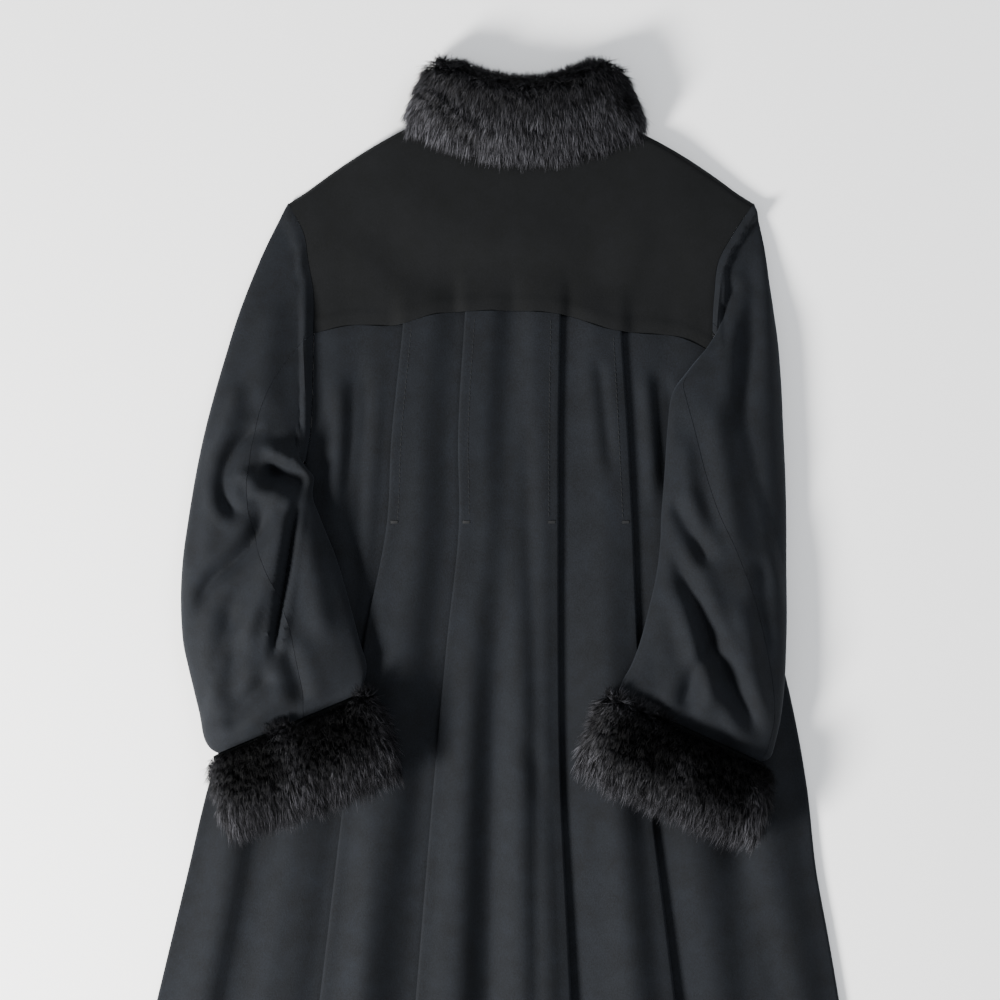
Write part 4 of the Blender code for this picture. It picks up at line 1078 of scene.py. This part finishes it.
def build_sleeve(side):
    """Outer and under sleeve, cut from one flattened tube along the back seam and the fore seam."""
    rings = np.array([sleeve_ring(side, row) for row in RING_ROWS[side]])
    normals = surface_normals(rings, True)
    inwards = rings.mean(axis=1, keepdims=True) - rings
    normals = -normals * np.sign(np.sum(normals * inwards, axis=-1).mean())
    share = (rings[0, :, 1] - TIP_DOWN) / (UNDERARM_DOWN[side] - TIP_DOWN)
    armhole_down = TIP_DOWN + (UNDERARM_DOWN[side] - TIP_DOWN) * np.clip(share, 0, 1)
    normals[0] = square(normals[0], seam_crossing(side, armhole_down))
    end_run = unit(rings[-1].mean(axis=0) - rings[-2].mean(axis=0))
    normals[-1] = square(normals[-1], (end_run[0], end_run[1], 0))
    pieces = []
    for label, first, last in (("outer", FORE_SEAM_COLUMN, RING_POINTS), ("under", 0, FORE_SEAM_COLUMN)):
        columns = np.arange(first, last + 1) % RING_POINTS
        middle = rings[:, columns].copy()
        middle[:, 0] += unit(middle[:, 1] - middle[:, 0]) * SLEEVE_SEAM_GAP / 2
        middle[:, -1] += unit(middle[:, -2] - middle[:, -1]) * SLEEVE_SEAM_GAP / 2
        piece = sew(f"sleeve_{side}_{label}_cloth", middle, normals[:, columns], body_melton)
        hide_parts(f"sleeve_{side}_{label}")
        pieces.append(piece)
    return rings, normals, pieces


sleeve_rings, sleeve_normals, sleeve_pieces = {}, {}, {}
for side in ("left", "right"):
    sleeve_rings[side], sleeve_normals[side], sleeve_pieces[side] = build_sleeve(side)

# Cuffs
# Straight bands of long black fur fabric, sewn to the sleeve ends with the pile brushed towards the hand. The
# fur is a knitted backing with a dense under-fur, and guard hairs of 20 to 33 mm with grey tips.

PILE_UNDER = 10.0
CUFF = {
    "left": table(
        "outer_across outer_down inner_across inner_down height",
        (-291, 758, -124, 690, 28),
        (-290, 768, -118, 700, 38),
        (-284, 790, -108, 722, 43),
        (-274, 822, -100, 757, 43),
        (-264, 846, -96, 786, 34),
    ),
    "right": table(
        "outer_across outer_down inner_across inner_down height",
        (271, 769, 102, 692, 28),
        (272, 780, 92, 702, 38),
        (268, 806, 82, 730, 43),
        (260, 830, 77, 752, 43),
        (244, 852, 76, 776, 34),
    ),
}
# Both ends of the opening for the hand, as across and down
CUFF_OPENING = {"left": ((-262, 815), (-114, 762)), "right": ((247, 828), (92, 758))}
CUFF_BULGE = 14.0
CUFF_POINTS = 72
CUFF_ROWS = 26
CUFF_SKIN_ROWS = 22
CUFF_HAIRS = 33000
CUFF_HAIR_LENGTH = (20, 33)
# The skin under the hairs lies at this share of the way from the lining to their reach
SKIN_SHARE = 0.55
CUFF_ROUND = 12.0
CUFF_SQUARENESS = 0.6
CUFF_STEADY = 0.6
CUFF_FIRST_LIFT = 4.0
CUFF_LAST_LIFT = 3.0
# The opening for the hand is a flat loop of this half height, which lies more level than the back under it
CUFF_LOOP_HALF = 1.75
CUFF_LOOP_STEADY = 0.4
# Under-fur clumps in tufts of 3 mm, which press 2 mm deep
TUFT_SIZE = 3.03
TUFT_DEPTH = 2.0


def under_fur():
    """Under-fur of a fur fabric: short crimped fibres, so dense that the eye sees only a soft black depth."""
    material, tree, shader = surface_finish("fur_fabric_under_fur", Roughness=0.9, Specular_IOR_Level=0.04)
    place = add_node(tree, "ShaderNodeTexCoord")
    tufts = add_node(
        tree,
        "ShaderNodeTexNoise",
        [("Scale", 1 / (TUFT_SIZE * MM)), ("Detail", 3.0), ("Roughness", 0.7)],
        [("Vector", place, "Object")],
    )
    colour = add_node(
        tree,
        "ShaderNodeMix",
        [("data_type", "RGBA"), (6, linear("#020303")), (7, linear("#090A0B"))],
        [(0, tufts, "Fac")],
    )
    relief = add_node(
        tree, "ShaderNodeBump", [("Strength", 0.9), ("Distance", TUFT_DEPTH * MM)], [("Height", tufts, "Fac")]
    )
    tree.links.new(colour.outputs[2], shader.inputs["Base Color"])
    tree.links.new(relief.outputs["Normal"], shader.inputs["Normal"])
    return material


def guard_hair():
    """Guard hairs of a fur fabric: smooth modacrylic fibres, black at the root and grey at the tip, which
    catch the light in fine streaks. They are drawn 0.5 mm wide because real ones, at 0.06 mm, don't show."""
    material, tree, shader = surface_finish("fur_fabric_guard_hair", Roughness=0.45, Specular_IOR_Level=0.06)
    along = add_node(tree, "ShaderNodeAttribute", [("attribute_name", "tip")])
    tone = add_node(tree, "ShaderNodeAttribute", [("attribute_name", "tone")])
    tip_tone = add_node(
        tree,
        "ShaderNodeMix",
        [("data_type", "RGBA"), (6, linear("#040405")), (7, linear("#68686E"))],
        [(0, tone, "Fac")],
    )
    greyed = add_node(
        tree, "ShaderNodeMapRange", [("From Min", 0.3), ("From Max", 0.9)], [("Value", along, "Fac")]
    )
    colour = add_node(
        tree,
        "ShaderNodeMix",
        [("data_type", "RGBA"), (6, linear("#030304"))],
        [(0, greyed, "Result"), (7, tip_tone, 2)],
    )
    tree.links.new(colour.outputs[2], shader.inputs["Base Color"])
    return material


under_fur_black = under_fur()
guard_hair_black = guard_hair()


def smooth_rows(rows, count):
    """A finer run of rows through a few rows of points."""
    rows = np.array(rows)
    keys = np.linspace(0, 1, len(rows))
    at = np.linspace(0, 1, count)
    flat = rows.reshape(len(rows), -1)
    fine = np.column_stack([through(keys, flat[:, k], at) for k in range(flat.shape[1])])
    return fine.reshape((count,) + rows.shape[1:])


def cuff_angles(side):
    """Angles round a cuff from the sleeve's back seam, with 0 at its outer end."""
    return math.acos(1 - 2 * SLEEVE[side]["seam"][-1]) + np.arange(CUFF_POINTS) * 2 * math.pi / CUFF_POINTS


def cuff_forms(side):
    """The cuff's hair reach and its lining, as rings from the sleeve to the hand."""
    stations = CUFF[side]
    angles = cuff_angles(side)
    pick = np.round(np.arange(CUFF_POINTS) * RING_POINTS / CUFF_POINTS).astype(int)
    share = (1 - np.cos(angles)) / 2
    on_top = np.sin(angles) > 0
    rings, normals = sleeve_rings[side][:, pick], sleeve_normals[side][:, pick]
    end_run = unit((rings[-1] - rings[-2]).mean(axis=0) * (1, 1, 0))
    first_inner = rings[-1] - normals[-1] * WALL / 2 + end_run * SEAM
    opening_outer, opening_inner = np.array(CUFF_OPENING[side], float)
    last_plan = opening_outer + (opening_inner - opening_outer) * share[:, None]
    count = len(stations["height"])
    reach_rows, lining_rows = [], []
    for row in range(count):
        outer = np.array([stations["outer_across"][row], stations["outer_down"][row]])
        inner = np.array([stations["inner_across"][row], stations["inner_down"][row]])
        plan = outer + (inner - outer) * share[:, None]
        end_share = row / (count - 1)
        plan[:, 1] += CUFF_BULGE * end_share**2 * np.sin(math.pi * share)
        width = np.linalg.norm(inner - outer)
        base = read_map(wide_map, plan[:, 0], plan[:, 1]) + LAYER_GAP
        from_end = np.minimum(share, 1 - share) * width
        tip_lift = CUFF_FIRST_LIFT if row == 0 else (CUFF_LAST_LIFT if row == count - 1 else 0.0)
        lower = base + tip_lift + roll_drop(from_end, CUFF_ROUND)
        fullness = np.abs(np.sin(angles)) ** CUFF_SQUARENESS
        steady = base + CUFF_STEADY * fullness * (base.mean() - base)
        upper = steady + tip_lift + CUFF_ROUND + (stations["height"][row] - CUFF_ROUND - tip_lift) * fullness
        reach_rows.append(np.column_stack([plan, np.where(on_top, upper, lower)]))
        inner_plan = first_inner[:, :2] * (1 - end_share) + last_plan * end_share
        loop_base = read_map(wide_map, inner_plan[:, 0], inner_plan[:, 1]) + LAYER_GAP + PILE_UNDER + WALL
        loop_base = loop_base.mean() + CUFF_LOOP_STEADY * (loop_base - loop_base.mean())
        roundness = np.sign(np.sin(angles)) * np.minimum(1, np.abs(np.sin(angles)) * 3)
        loop = loop_base + CUFF_LOOP_HALF + CUFF_LOOP_HALF * roundness
        inner_height = loop * end_share + first_inner[:, 2] * (1 - end_share)
        lining_rows.append(np.column_stack([inner_plan, inner_height]))
    return smooth_rows(reach_rows, CUFF_ROWS), smooth_rows(lining_rows, CUFF_ROWS)


def hair_roots(skin, normals, pile, weights, count, wrap, rng):
    """Places of hairs on a skin grid, with the skin's normal, the way they are brushed there, and the pile's
    own tone, rise and backward lean."""
    ahead = np.roll(skin, -1, axis=1) if wrap else skin[:, 1:]
    here = skin if wrap else skin[:, :-1]
    side_way = (ahead - here)[:-1]
    rows, columns = side_way.shape[:2]
    comb_way = np.diff(skin, axis=0)[:, :columns]
    areas = np.linalg.norm(np.cross(side_way, comb_way), axis=-1) * weights[:rows, :columns]
    chosen = rng.choice(areas.size, size=count, p=(areas / areas.sum()).ravel())
    row, column = np.divmod(chosen, columns)
    s, t = rng.random(count)[:, None], rng.random(count)[:, None]
    following = (column + 1) % skin.shape[1]

    def blend(grid):
        upper = grid[row, column] * (1 - s) + grid[row, following] * s
        lower = grid[row + 1, column] * (1 - s) + grid[row + 1, following] * s
        return upper * (1 - t) + lower * t

    roots = blend(skin)
    facing = unit(blend(normals))
    return roots, facing, unit(blend(unit(np.gradient(skin, axis=0)))), blend(pile)


HAIRS_A_LOCK = 9
HAIR_RADIUS = 0.24
# Ranges that a lock is drawn from: its lean back and rise as shares of the pile's own, and its tone
LOCK_BACK_LEAN = (0.2, 1.25)
LOCK_SWAY = 0.2
LOCK_RISE = (0.6, 1.35)
LOCK_BACK_RISE = (0.35, 0.8)
LOCK_TONE = (0.45, 1.4)
# Ranges that a hair is drawn from, as shares of its lock's own, and how far its tip is drawn to the lock's
HAIR_SWAY = 0.17
HAIR_RISE = (0.6, 1.4)
HAIR_LENGTH = (0.72, 1.1)
HAIR_GATHER = (0.0, 0.5)
# About a third of the hairs are grey, and the others nearly black
GREY_SHARE = 0.34
GREY_TONE = (0.45, 1.0)
BLACK_TONE = (0.0, 0.16)
# Hairs bend at this share of their length and stay this far above the cloth, at their middle and at their tip
HAIR_BEND = 0.30
HAIR_CLEAR = (0.8, 0.5)


def nearest_lock(roots, lock_roots, lock_brushed):
    """The lock that each hair belongs to, near it and beside it rather than before or behind it."""
    nearest = np.empty(len(roots), int)
    for start in range(0, len(roots), 2000):
        gap = roots[start:start + 2000, None] - lock_roots[None]
        away = np.sum(gap * gap, axis=-1) + 1.2 * np.sum(gap * lock_brushed[None], axis=-1) ** 2
        nearest[start:start + 2000] = np.argmin(away, axis=1)
    return nearest


def straight_tips(roots, facing, run, rise, length):
    """Where straight hairs end that rise off the skin by an angle."""
    return roots + (run * np.cos(rise)[:, None] + facing * np.sin(rise)[:, None]) * length[:, None]


def hair_piece(name, roots, middle, tip, facing, tone):
    """Closed three-sided hairs, pointed at both ends, as one piece that carries each hair's tone."""
    axis = unit(tip - roots)
    helper = unit(np.cross(axis, facing))
    upward = np.cross(helper, axis)
    vertices = np.empty((len(roots), 5, 3))
    vertices[:, 0] = roots - facing * 0.6
    for k in range(3):
        angle = 2 * math.pi * k / 3 + math.pi / 6
        spoke = helper * math.cos(angle) + upward * math.sin(angle)
        vertices[:, 1 + k] = middle + spoke * (HAIR_RADIUS * (0.75 + 0.6 * tone))[:, None]
    vertices[:, 4] = tip
    offsets = np.arange(len(roots))[:, None] * 5
    faces = []
    for face in ((0, 2, 1), (0, 3, 2), (0, 1, 3), (1, 2, 4), (2, 3, 4), (3, 1, 4)):
        faces += (offsets + np.array(face)).tolist()
    mesh = bpy.data.meshes.new(name)
    mesh.from_pydata(to_world(vertices).tolist(), [], faces)
    mesh.shade_smooth()
    along = np.tile([0.0, 0.5, 0.5, 0.5, 1.0], len(roots))
    mesh.attributes.new("tip", "FLOAT", "POINT").data.foreach_set("value", along)
    mesh.attributes.new("tone", "FLOAT", "POINT").data.foreach_set("value", np.repeat(tone, 5))
    shape = bmesh.new()
    shape.from_mesh(mesh)
    if shape.calc_volume(signed=True) < 0:
        bmesh.ops.reverse_faces(shape, faces=shape.faces[:])
    shape.to_mesh(mesh)
    shape.free()
    piece = bpy.data.objects.new(name, mesh)
    bpy.context.scene.collection.objects.link(piece)
    mesh.materials.append(guard_hair_black)
    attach(piece, "root")
    return piece


def grow_hairs(name, skin, normals, pile, weights, count, wrap, lengths, seed, floor_map):
    """Guard hairs in small locks, bent down along the brushing. The pile grid says how grey the hairs are, how
    far they rise, and how far they lean back."""
    rng = np.random.default_rng(seed)
    roots, facing, brushed, own = hair_roots(skin, normals, pile, weights, count, wrap, rng)
    locks = count // HAIRS_A_LOCK
    lock_roots, lock_facing, lock_brushed, lock = hair_roots(skin, normals, pile, weights, locks, wrap, rng)
    back_lean = np.clip(lock[:, 2] * rng.uniform(*LOCK_BACK_LEAN, locks), 0, 1)
    nearest = nearest_lock(roots, lock_roots, lock_brushed)
    lock_side = np.cross(lock_facing, lock_brushed)
    lock_lean = rng.normal(0, LOCK_SWAY, locks)
    lock_rise = lock[:, 1] * rng.uniform(*LOCK_RISE, locks) * (1 - back_lean)
    lock_rise += back_lean * rng.uniform(*LOCK_BACK_RISE, locks)
    lock_length = rng.uniform(*lengths, locks) * (1 - 0.4 * back_lean)
    lock_length *= 1 - 0.6 * np.clip(lock_rise - 0.3, 0, 1)
    lock_run = unit(lock_brushed * (1 - 2.0 * back_lean)[:, None] + lock_side * lock_lean[:, None])
    lock_tip = straight_tips(lock_roots, lock_facing, lock_run, lock_rise, lock_length)
    lean = lock_lean[nearest] * 0.6 + rng.normal(0, HAIR_SWAY, count)
    hair_side = np.cross(facing, brushed)
    run = unit(brushed * (1 - 2.0 * back_lean[nearest])[:, None] + hair_side * lean[:, None])
    rise = lock_rise[nearest] * rng.uniform(*HAIR_RISE, count)
    length = lock_length[nearest] * rng.uniform(*HAIR_LENGTH, count)
    own_tip = straight_tips(roots, facing, run, rise, length)
    gather = rng.uniform(*HAIR_GATHER, count)[:, None]
    tip = own_tip * (1 - gather) + (lock_tip[nearest] + (roots - lock_roots[nearest]) * 0.22) * gather
    bend = roots + (facing + run) * (length * HAIR_BEND)[:, None]
    middle = roots * 0.25 + bend * 0.5 + tip * 0.25
    for points, least in zip((middle, tip), HAIR_CLEAR):
        points[:, 2] = np.maximum(points[:, 2], read_map(floor_map, points[:, 0], points[:, 1]) + least)
    is_grey = rng.random(count) < GREY_SHARE
    grey = np.where(is_grey, rng.uniform(*GREY_TONE, count), rng.uniform(*BLACK_TONE, count))
    tone = np.clip(grey * own[:, 0] * rng.uniform(*LOCK_TONE, locks)[nearest], 0, 1)
    return hair_piece(name, roots, middle, tip, facing, tone)


def skin_normals(skin, lining, wrap):
    """Normals of the skin grid that point away from the lining."""
    normals = surface_normals(skin, wrap)
    return normals * np.sign(np.sum(normals * (skin - lining), axis=-1).mean())


# The cuffs' tone, with the painted sheen in it, is scaled by this
CUFF_GREY = 0.7


def cuff_pile(side, rows):
    """How the pile of a cuff lies, from the sleeve to the hand and from its outer end to its inner one: dark
    and upright in its middle, brushed down in its fringe, with tufts that lean over the sleeve. How grey the
    hairs are by place is painted sheen: greyer towards the hand, at both ends and in streaks between, where the
    fur catches the light."""
    u = ((1 - np.cos(cuff_angles(side))) / 2)[None, :]
    v = np.linspace(0, 1, rows)[:, None]
    # Painted sheen: hairs greyer towards the hand, at both ends and in streaks between, where the fur catches
    # the light
    if side == "left":
        tone = 0.03 + 0.72 * between(0.5, 0.9, v) + 0.5 * bump(u, 0.45, 0.07) + 0.55 * between(0.88, 0.98, u)
        tone = tone + 0.45 * between(0.12, 0.02, u)
        tuft = bump(u, 0.43, 0.09) + between(0.86, 0.95, u)
    else:
        tone = 0.02 + 0.72 * between(0.5, 0.9, v) + 0.5 * bump(u, 0.48, 0.05) * bump(v, 0.5, 0.16)
        tone = tone + 0.45 * between(0.84, 0.97, u) + 0.7 * between(0.16, 0.04, u) * between(0.2, 0.5, v)
        tone = tone + 0.45 * between(0.6, 0.75, u) * between(0.2, 0.05, v)
        tuft = between(0.55, 0.72, u)
    tone = CUFF_GREY * np.clip(tone + 0 * u * v, 0, 1)
    lean = (0.2 + tuft) * np.clip(1 - v / 0.22, 0, 1)
    return np.dstack([tone, 0.24 + 0.8 * (1 - tone) * between(1.0, 0.6, v), lean])


back_map = soften(spread(laid_back, 4.0), 1)
for side, seed in (("left", 11), ("right", 23)):
    reach, lining = (form[:CUFF_SKIN_ROWS] for form in cuff_forms(side))
    skin = lining + (reach - lining) * SKIN_SHARE
    body = close_wall(f"cuff_{side}_under_fur", skin, lining, under_fur_black, True)
    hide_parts(f"cuff_{side}")
    outwards = skin_normals(skin, lining, True)
    pile = cuff_pile(side, CUFF_SKIN_ROWS)
    weights = (0.35 + np.clip(outwards[..., 2] + 0.25, 0, 1)) * (1 + 1.6 * pile[..., 2])
    name = f"cuff_{side}_guard_hairs"
    grow_hairs(name, skin, outwards, pile, weights, CUFF_HAIRS, True, CUFF_HAIR_LENGTH, seed, back_map)

# Collar
# A stand collar of the same fur, sewn to the neckline and standing against its own folded ends, with the pile
# brushed down over the neck seam.

PILE_TOP = 24.0
PILE_SIDE = 16.0
COLLAR_TAPER = 0.22
COLLAR_EAR_ANGLES = np.radians(np.linspace(12, 168, 12))
COLLAR_SLIT = 2.0
COLLAR_TOP_DOWN = 82.0
COLLAR_EAR_RISE = 16.0
COLLAR_FRONT_HEIGHT = 58.0
COLLAR_ROWS = 22
COLLAR_SEAM_CLEAR = 1.5
COLLAR_BACKING = 1.2
# The pile swells to its full depth below the top edge, and thins again above the seam
COLLAR_SWELL_ENDS = 0.22
COLLAR_THIN_STARTS = 0.8
COLLAR_THIN = 0.45
COLLAR_HAIRS = 31000
COLLAR_HAIR_LENGTH = (18, 29)
COLLAR_END_HAIRS = 5000
COLLAR_END_HAIR_LENGTH = (10, 16)


def collar_path():
    """The collar's run round the neck, as rows of across, down of its lower edge, height, turn and band."""
    rows = []
    back_inner = NECK_BACK_LEVEL - WALL / 2
    front_inner = NECK_FRONT_LEVEL + WALL / 2
    middle_height = (back_inner + front_inner) / 2
    radius = (back_inner - front_inner) / 2
    side_height = NECK_POINT_DOWN - (COLLAR_TOP_DOWN - COLLAR_EAR_RISE)

    def front_rows(cells):
        for across in cells:
            u = abs(across - NECK_ACROSS) / NECK_HALF
            band = COLLAR_FRONT_HEIGHT + (side_height - COLLAR_FRONT_HEIGHT) * u
            rows.append((across, front_neck(across), front_inner, math.pi, band))

    def ear_rows(side, angles):
        across = NECK_ACROSS + OUTWARD[side] * NECK_HALF
        for angle in angles:
            outwards = across + OUTWARD[side] * radius * math.sin(angle)
            height = middle_height + radius * math.cos(angle)
            rows.append((outwards, back_neck(across), height, OUTWARD[side] * angle, side_height))

    left_front = neck_samples(0, MIDDLE_CELL)[::-1].copy()
    left_front[0] -= COLLAR_SLIT
    front_rows(left_front)
    ear_rows("left", COLLAR_EAR_ANGLES[::-1])
    for across in neck_samples(0, NECK_CELLS):
        u = (across - NECK_ACROSS) / NECK_HALF
        top_down = COLLAR_TOP_DOWN - COLLAR_EAR_RISE * min(1.0, (u / 0.8) ** 2)
        rows.append((across, back_neck(across), back_inner, 0.0, back_neck(across) - top_down))
    ear_rows("right", COLLAR_EAR_ANGLES)
    right_front = neck_samples(MIDDLE_CELL, NECK_CELLS)[::-1].copy()
    right_front[-1] += COLLAR_SLIT
    front_rows(right_front)
    return rows


def collar_point(across, down, height, turn, band, from_top, outwards):
    narrowing = 1 - COLLAR_TAPER * min(1.0, max(0.0, (band - from_top) / band))
    place = NECK_ACROSS + (across - NECK_ACROSS + outwards * math.sin(turn)) * narrowing
    return (place, down - band + from_top, height + outwards * math.cos(turn))


def collar_forms():
    """The collar's skin and its lining, as grids with columns round the neck and rows from top to seam."""
    skin, lining = [], []
    for run in collar_path():
        turn, band = run[3:]
        facing_up = math.cos(turn)
        fullest = PILE_TOP if facing_up > 0 else PILE_UNDER
        pile = PILE_SIDE + (fullest - PILE_SIDE) * abs(facing_up)
        outer, inner = [], []
        for share in np.linspace(0, 1, COLLAR_ROWS):
            from_top = share * (band - COLLAR_SEAM_CLEAR)
            swell = math.sqrt(1 - (1 - min(1.0, share / COLLAR_SWELL_ENDS)) ** 2)
            thinned = 1 - COLLAR_THIN * max(0.0, share - COLLAR_THIN_STARTS) / (1 - COLLAR_THIN_STARTS)
            depth = COLLAR_BACKING + SKIN_SHARE * pile * swell * thinned
            outer.append(collar_point(*run, from_top, depth))
            inner.append(collar_point(*run, from_top, 0.0))
        skin.append(outer)
        lining.append(inner)
    return np.array(skin).transpose(1, 0, 2), np.array(lining).transpose(1, 0, 2)


def collar_pile(rows, columns):
    """How the collar's pile lies, from its top edge down and from left to right: grey streaks down to the
    fringe, and two hollows where the ends turn forwards, whose hairs are darkened as painted shade."""
    u = np.linspace(0, 1, columns)[None, :]
    v = np.linspace(0, 1, rows)[:, None]
    hollow = bump(u, 0.11 + 0.5 * (v - 0.4), 0.045) * between(0.25, 0.5, v) * between(0.98, 0.8, v)
    hollow = np.maximum(hollow, bump(u, 0.86, 0.05) * bump(v, 0.5, 0.2))
    # The hollows darken the hairs there: painted shade
    tone = (0.3 + 0.5 * between(0.15, 0.5, v) + 0.3 * between(0.75, 1.0, v)) * (1 - 0.92 * hollow)
    lean = np.clip(1 - v / 0.2, 0, 1) + 0 * u
    return np.dstack([np.clip(tone, 0, 1), 0.3 + 0.75 * hollow, lean])


collar_skin, collar_lining = collar_forms()
collar_body = close_wall("collar_under_fur", collar_skin, collar_lining, under_fur_black)
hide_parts("collar")
collar_out = skin_normals(collar_skin, collar_lining, False)
front_columns = MIDDLE_CELL + 1
all_columns = collar_skin.shape[1]
on_back = slice(front_columns + 3, all_columns - front_columns - 3)
back_weights = 0.3 + 1.3 * np.clip(collar_out[:, on_back, 2] + 0.3, 0, 1)
back_skin, back_out = collar_skin[:, on_back], collar_out[:, on_back]
pile = collar_pile(*back_skin.shape[:2])
for part, seed in (("first", 41), ("second", 57)):
    name = f"collar_guard_hairs_{part}"
    grow_hairs(
        name, back_skin, back_out, pile, back_weights, COLLAR_HAIRS, False, COLLAR_HAIR_LENGTH, seed, back_map
    )
table_map = np.zeros_like(back_map)
for side, columns, seed in (
    ("left", slice(0, front_columns + 4), 71),
    ("right", slice(all_columns - front_columns - 4, None), 83),
):
    end_skin, end_out = collar_skin[:, columns], collar_out[:, columns]
    pile = np.full(end_skin.shape, (0.5, 0.25, 0.0))
    even = np.ones(end_skin.shape[:2])
    name = f"collar_end_{side}_guard_hairs"
    grow_hairs(
        name, end_skin, end_out, pile, even, COLLAR_END_HAIRS, False, COLLAR_END_HAIR_LENGTH, seed, table_map
    )

# Floor, light and camera
# A plain white laying table, soft light from the lower left with a fill from the right, and a camera straight
# above the back.

bpy.ops.mesh.primitive_plane_add(size=12.0, location=(0, 0, 0))
floor = bpy.context.object
floor.name = "floor"
matte_board, _, _ = surface_finish("matte_white_board", Base_Color=linear("#FBFBFB"), Roughness=0.9)
floor.data.materials.append(matte_board)


def soft_light(name, place, aim, size, power, colour):
    lamp = bpy.data.lights.new(name, "AREA")
    lamp.shape = "DISK"
    lamp.size = size
    lamp.energy = power
    lamp.color = colour
    holder = bpy.data.objects.new(name, lamp)
    holder.location = place
    holder.rotation_euler = (Vector(aim) - Vector(place)).to_track_quat("-Z", "Y").to_euler()
    bpy.context.scene.collection.objects.link(holder)


soft_light("key_light", (-2.0, -1.2, 1.35), (0, 0.1, 0), 0.8, 320.0, (1.0, 0.985, 0.96))
soft_light("fill_light", (1.6, 1.6, 2.2), (0, 0, 0), 1.6, 45.0, (0.93, 0.96, 1.0))
world = bpy.data.worlds.new("studio")
world.use_nodes = True
world.node_tree.nodes["Background"].inputs["Color"].default_value = (0.95, 0.97, 1.0, 1.0)
world.node_tree.nodes["Background"].inputs["Strength"].default_value = 0.68
bpy.context.scene.world = world

# The photograph is 1 m wide at the cloth's height, and its middle is the camera's place over the table
FOCAL_LENGTH = 85.0
SENSOR = 36.0
VIEW_WIDTH = 1.0
CLOTH_HEIGHT = 0.014
CAMERA_PLACE = (-MIDDLE_ACROSS * MM, (MIDDLE_DOWN - 500) * MM)
lens = bpy.data.cameras.new("camera")
lens.lens = FOCAL_LENGTH
lens.sensor_width = SENSOR
camera = bpy.data.objects.new("camera", lens)
camera.location = (*CAMERA_PLACE, VIEW_WIDTH * FOCAL_LENGTH / SENSOR + CLOTH_HEIGHT)
bpy.context.scene.collection.objects.link(camera)
bpy.context.scene.camera = camera
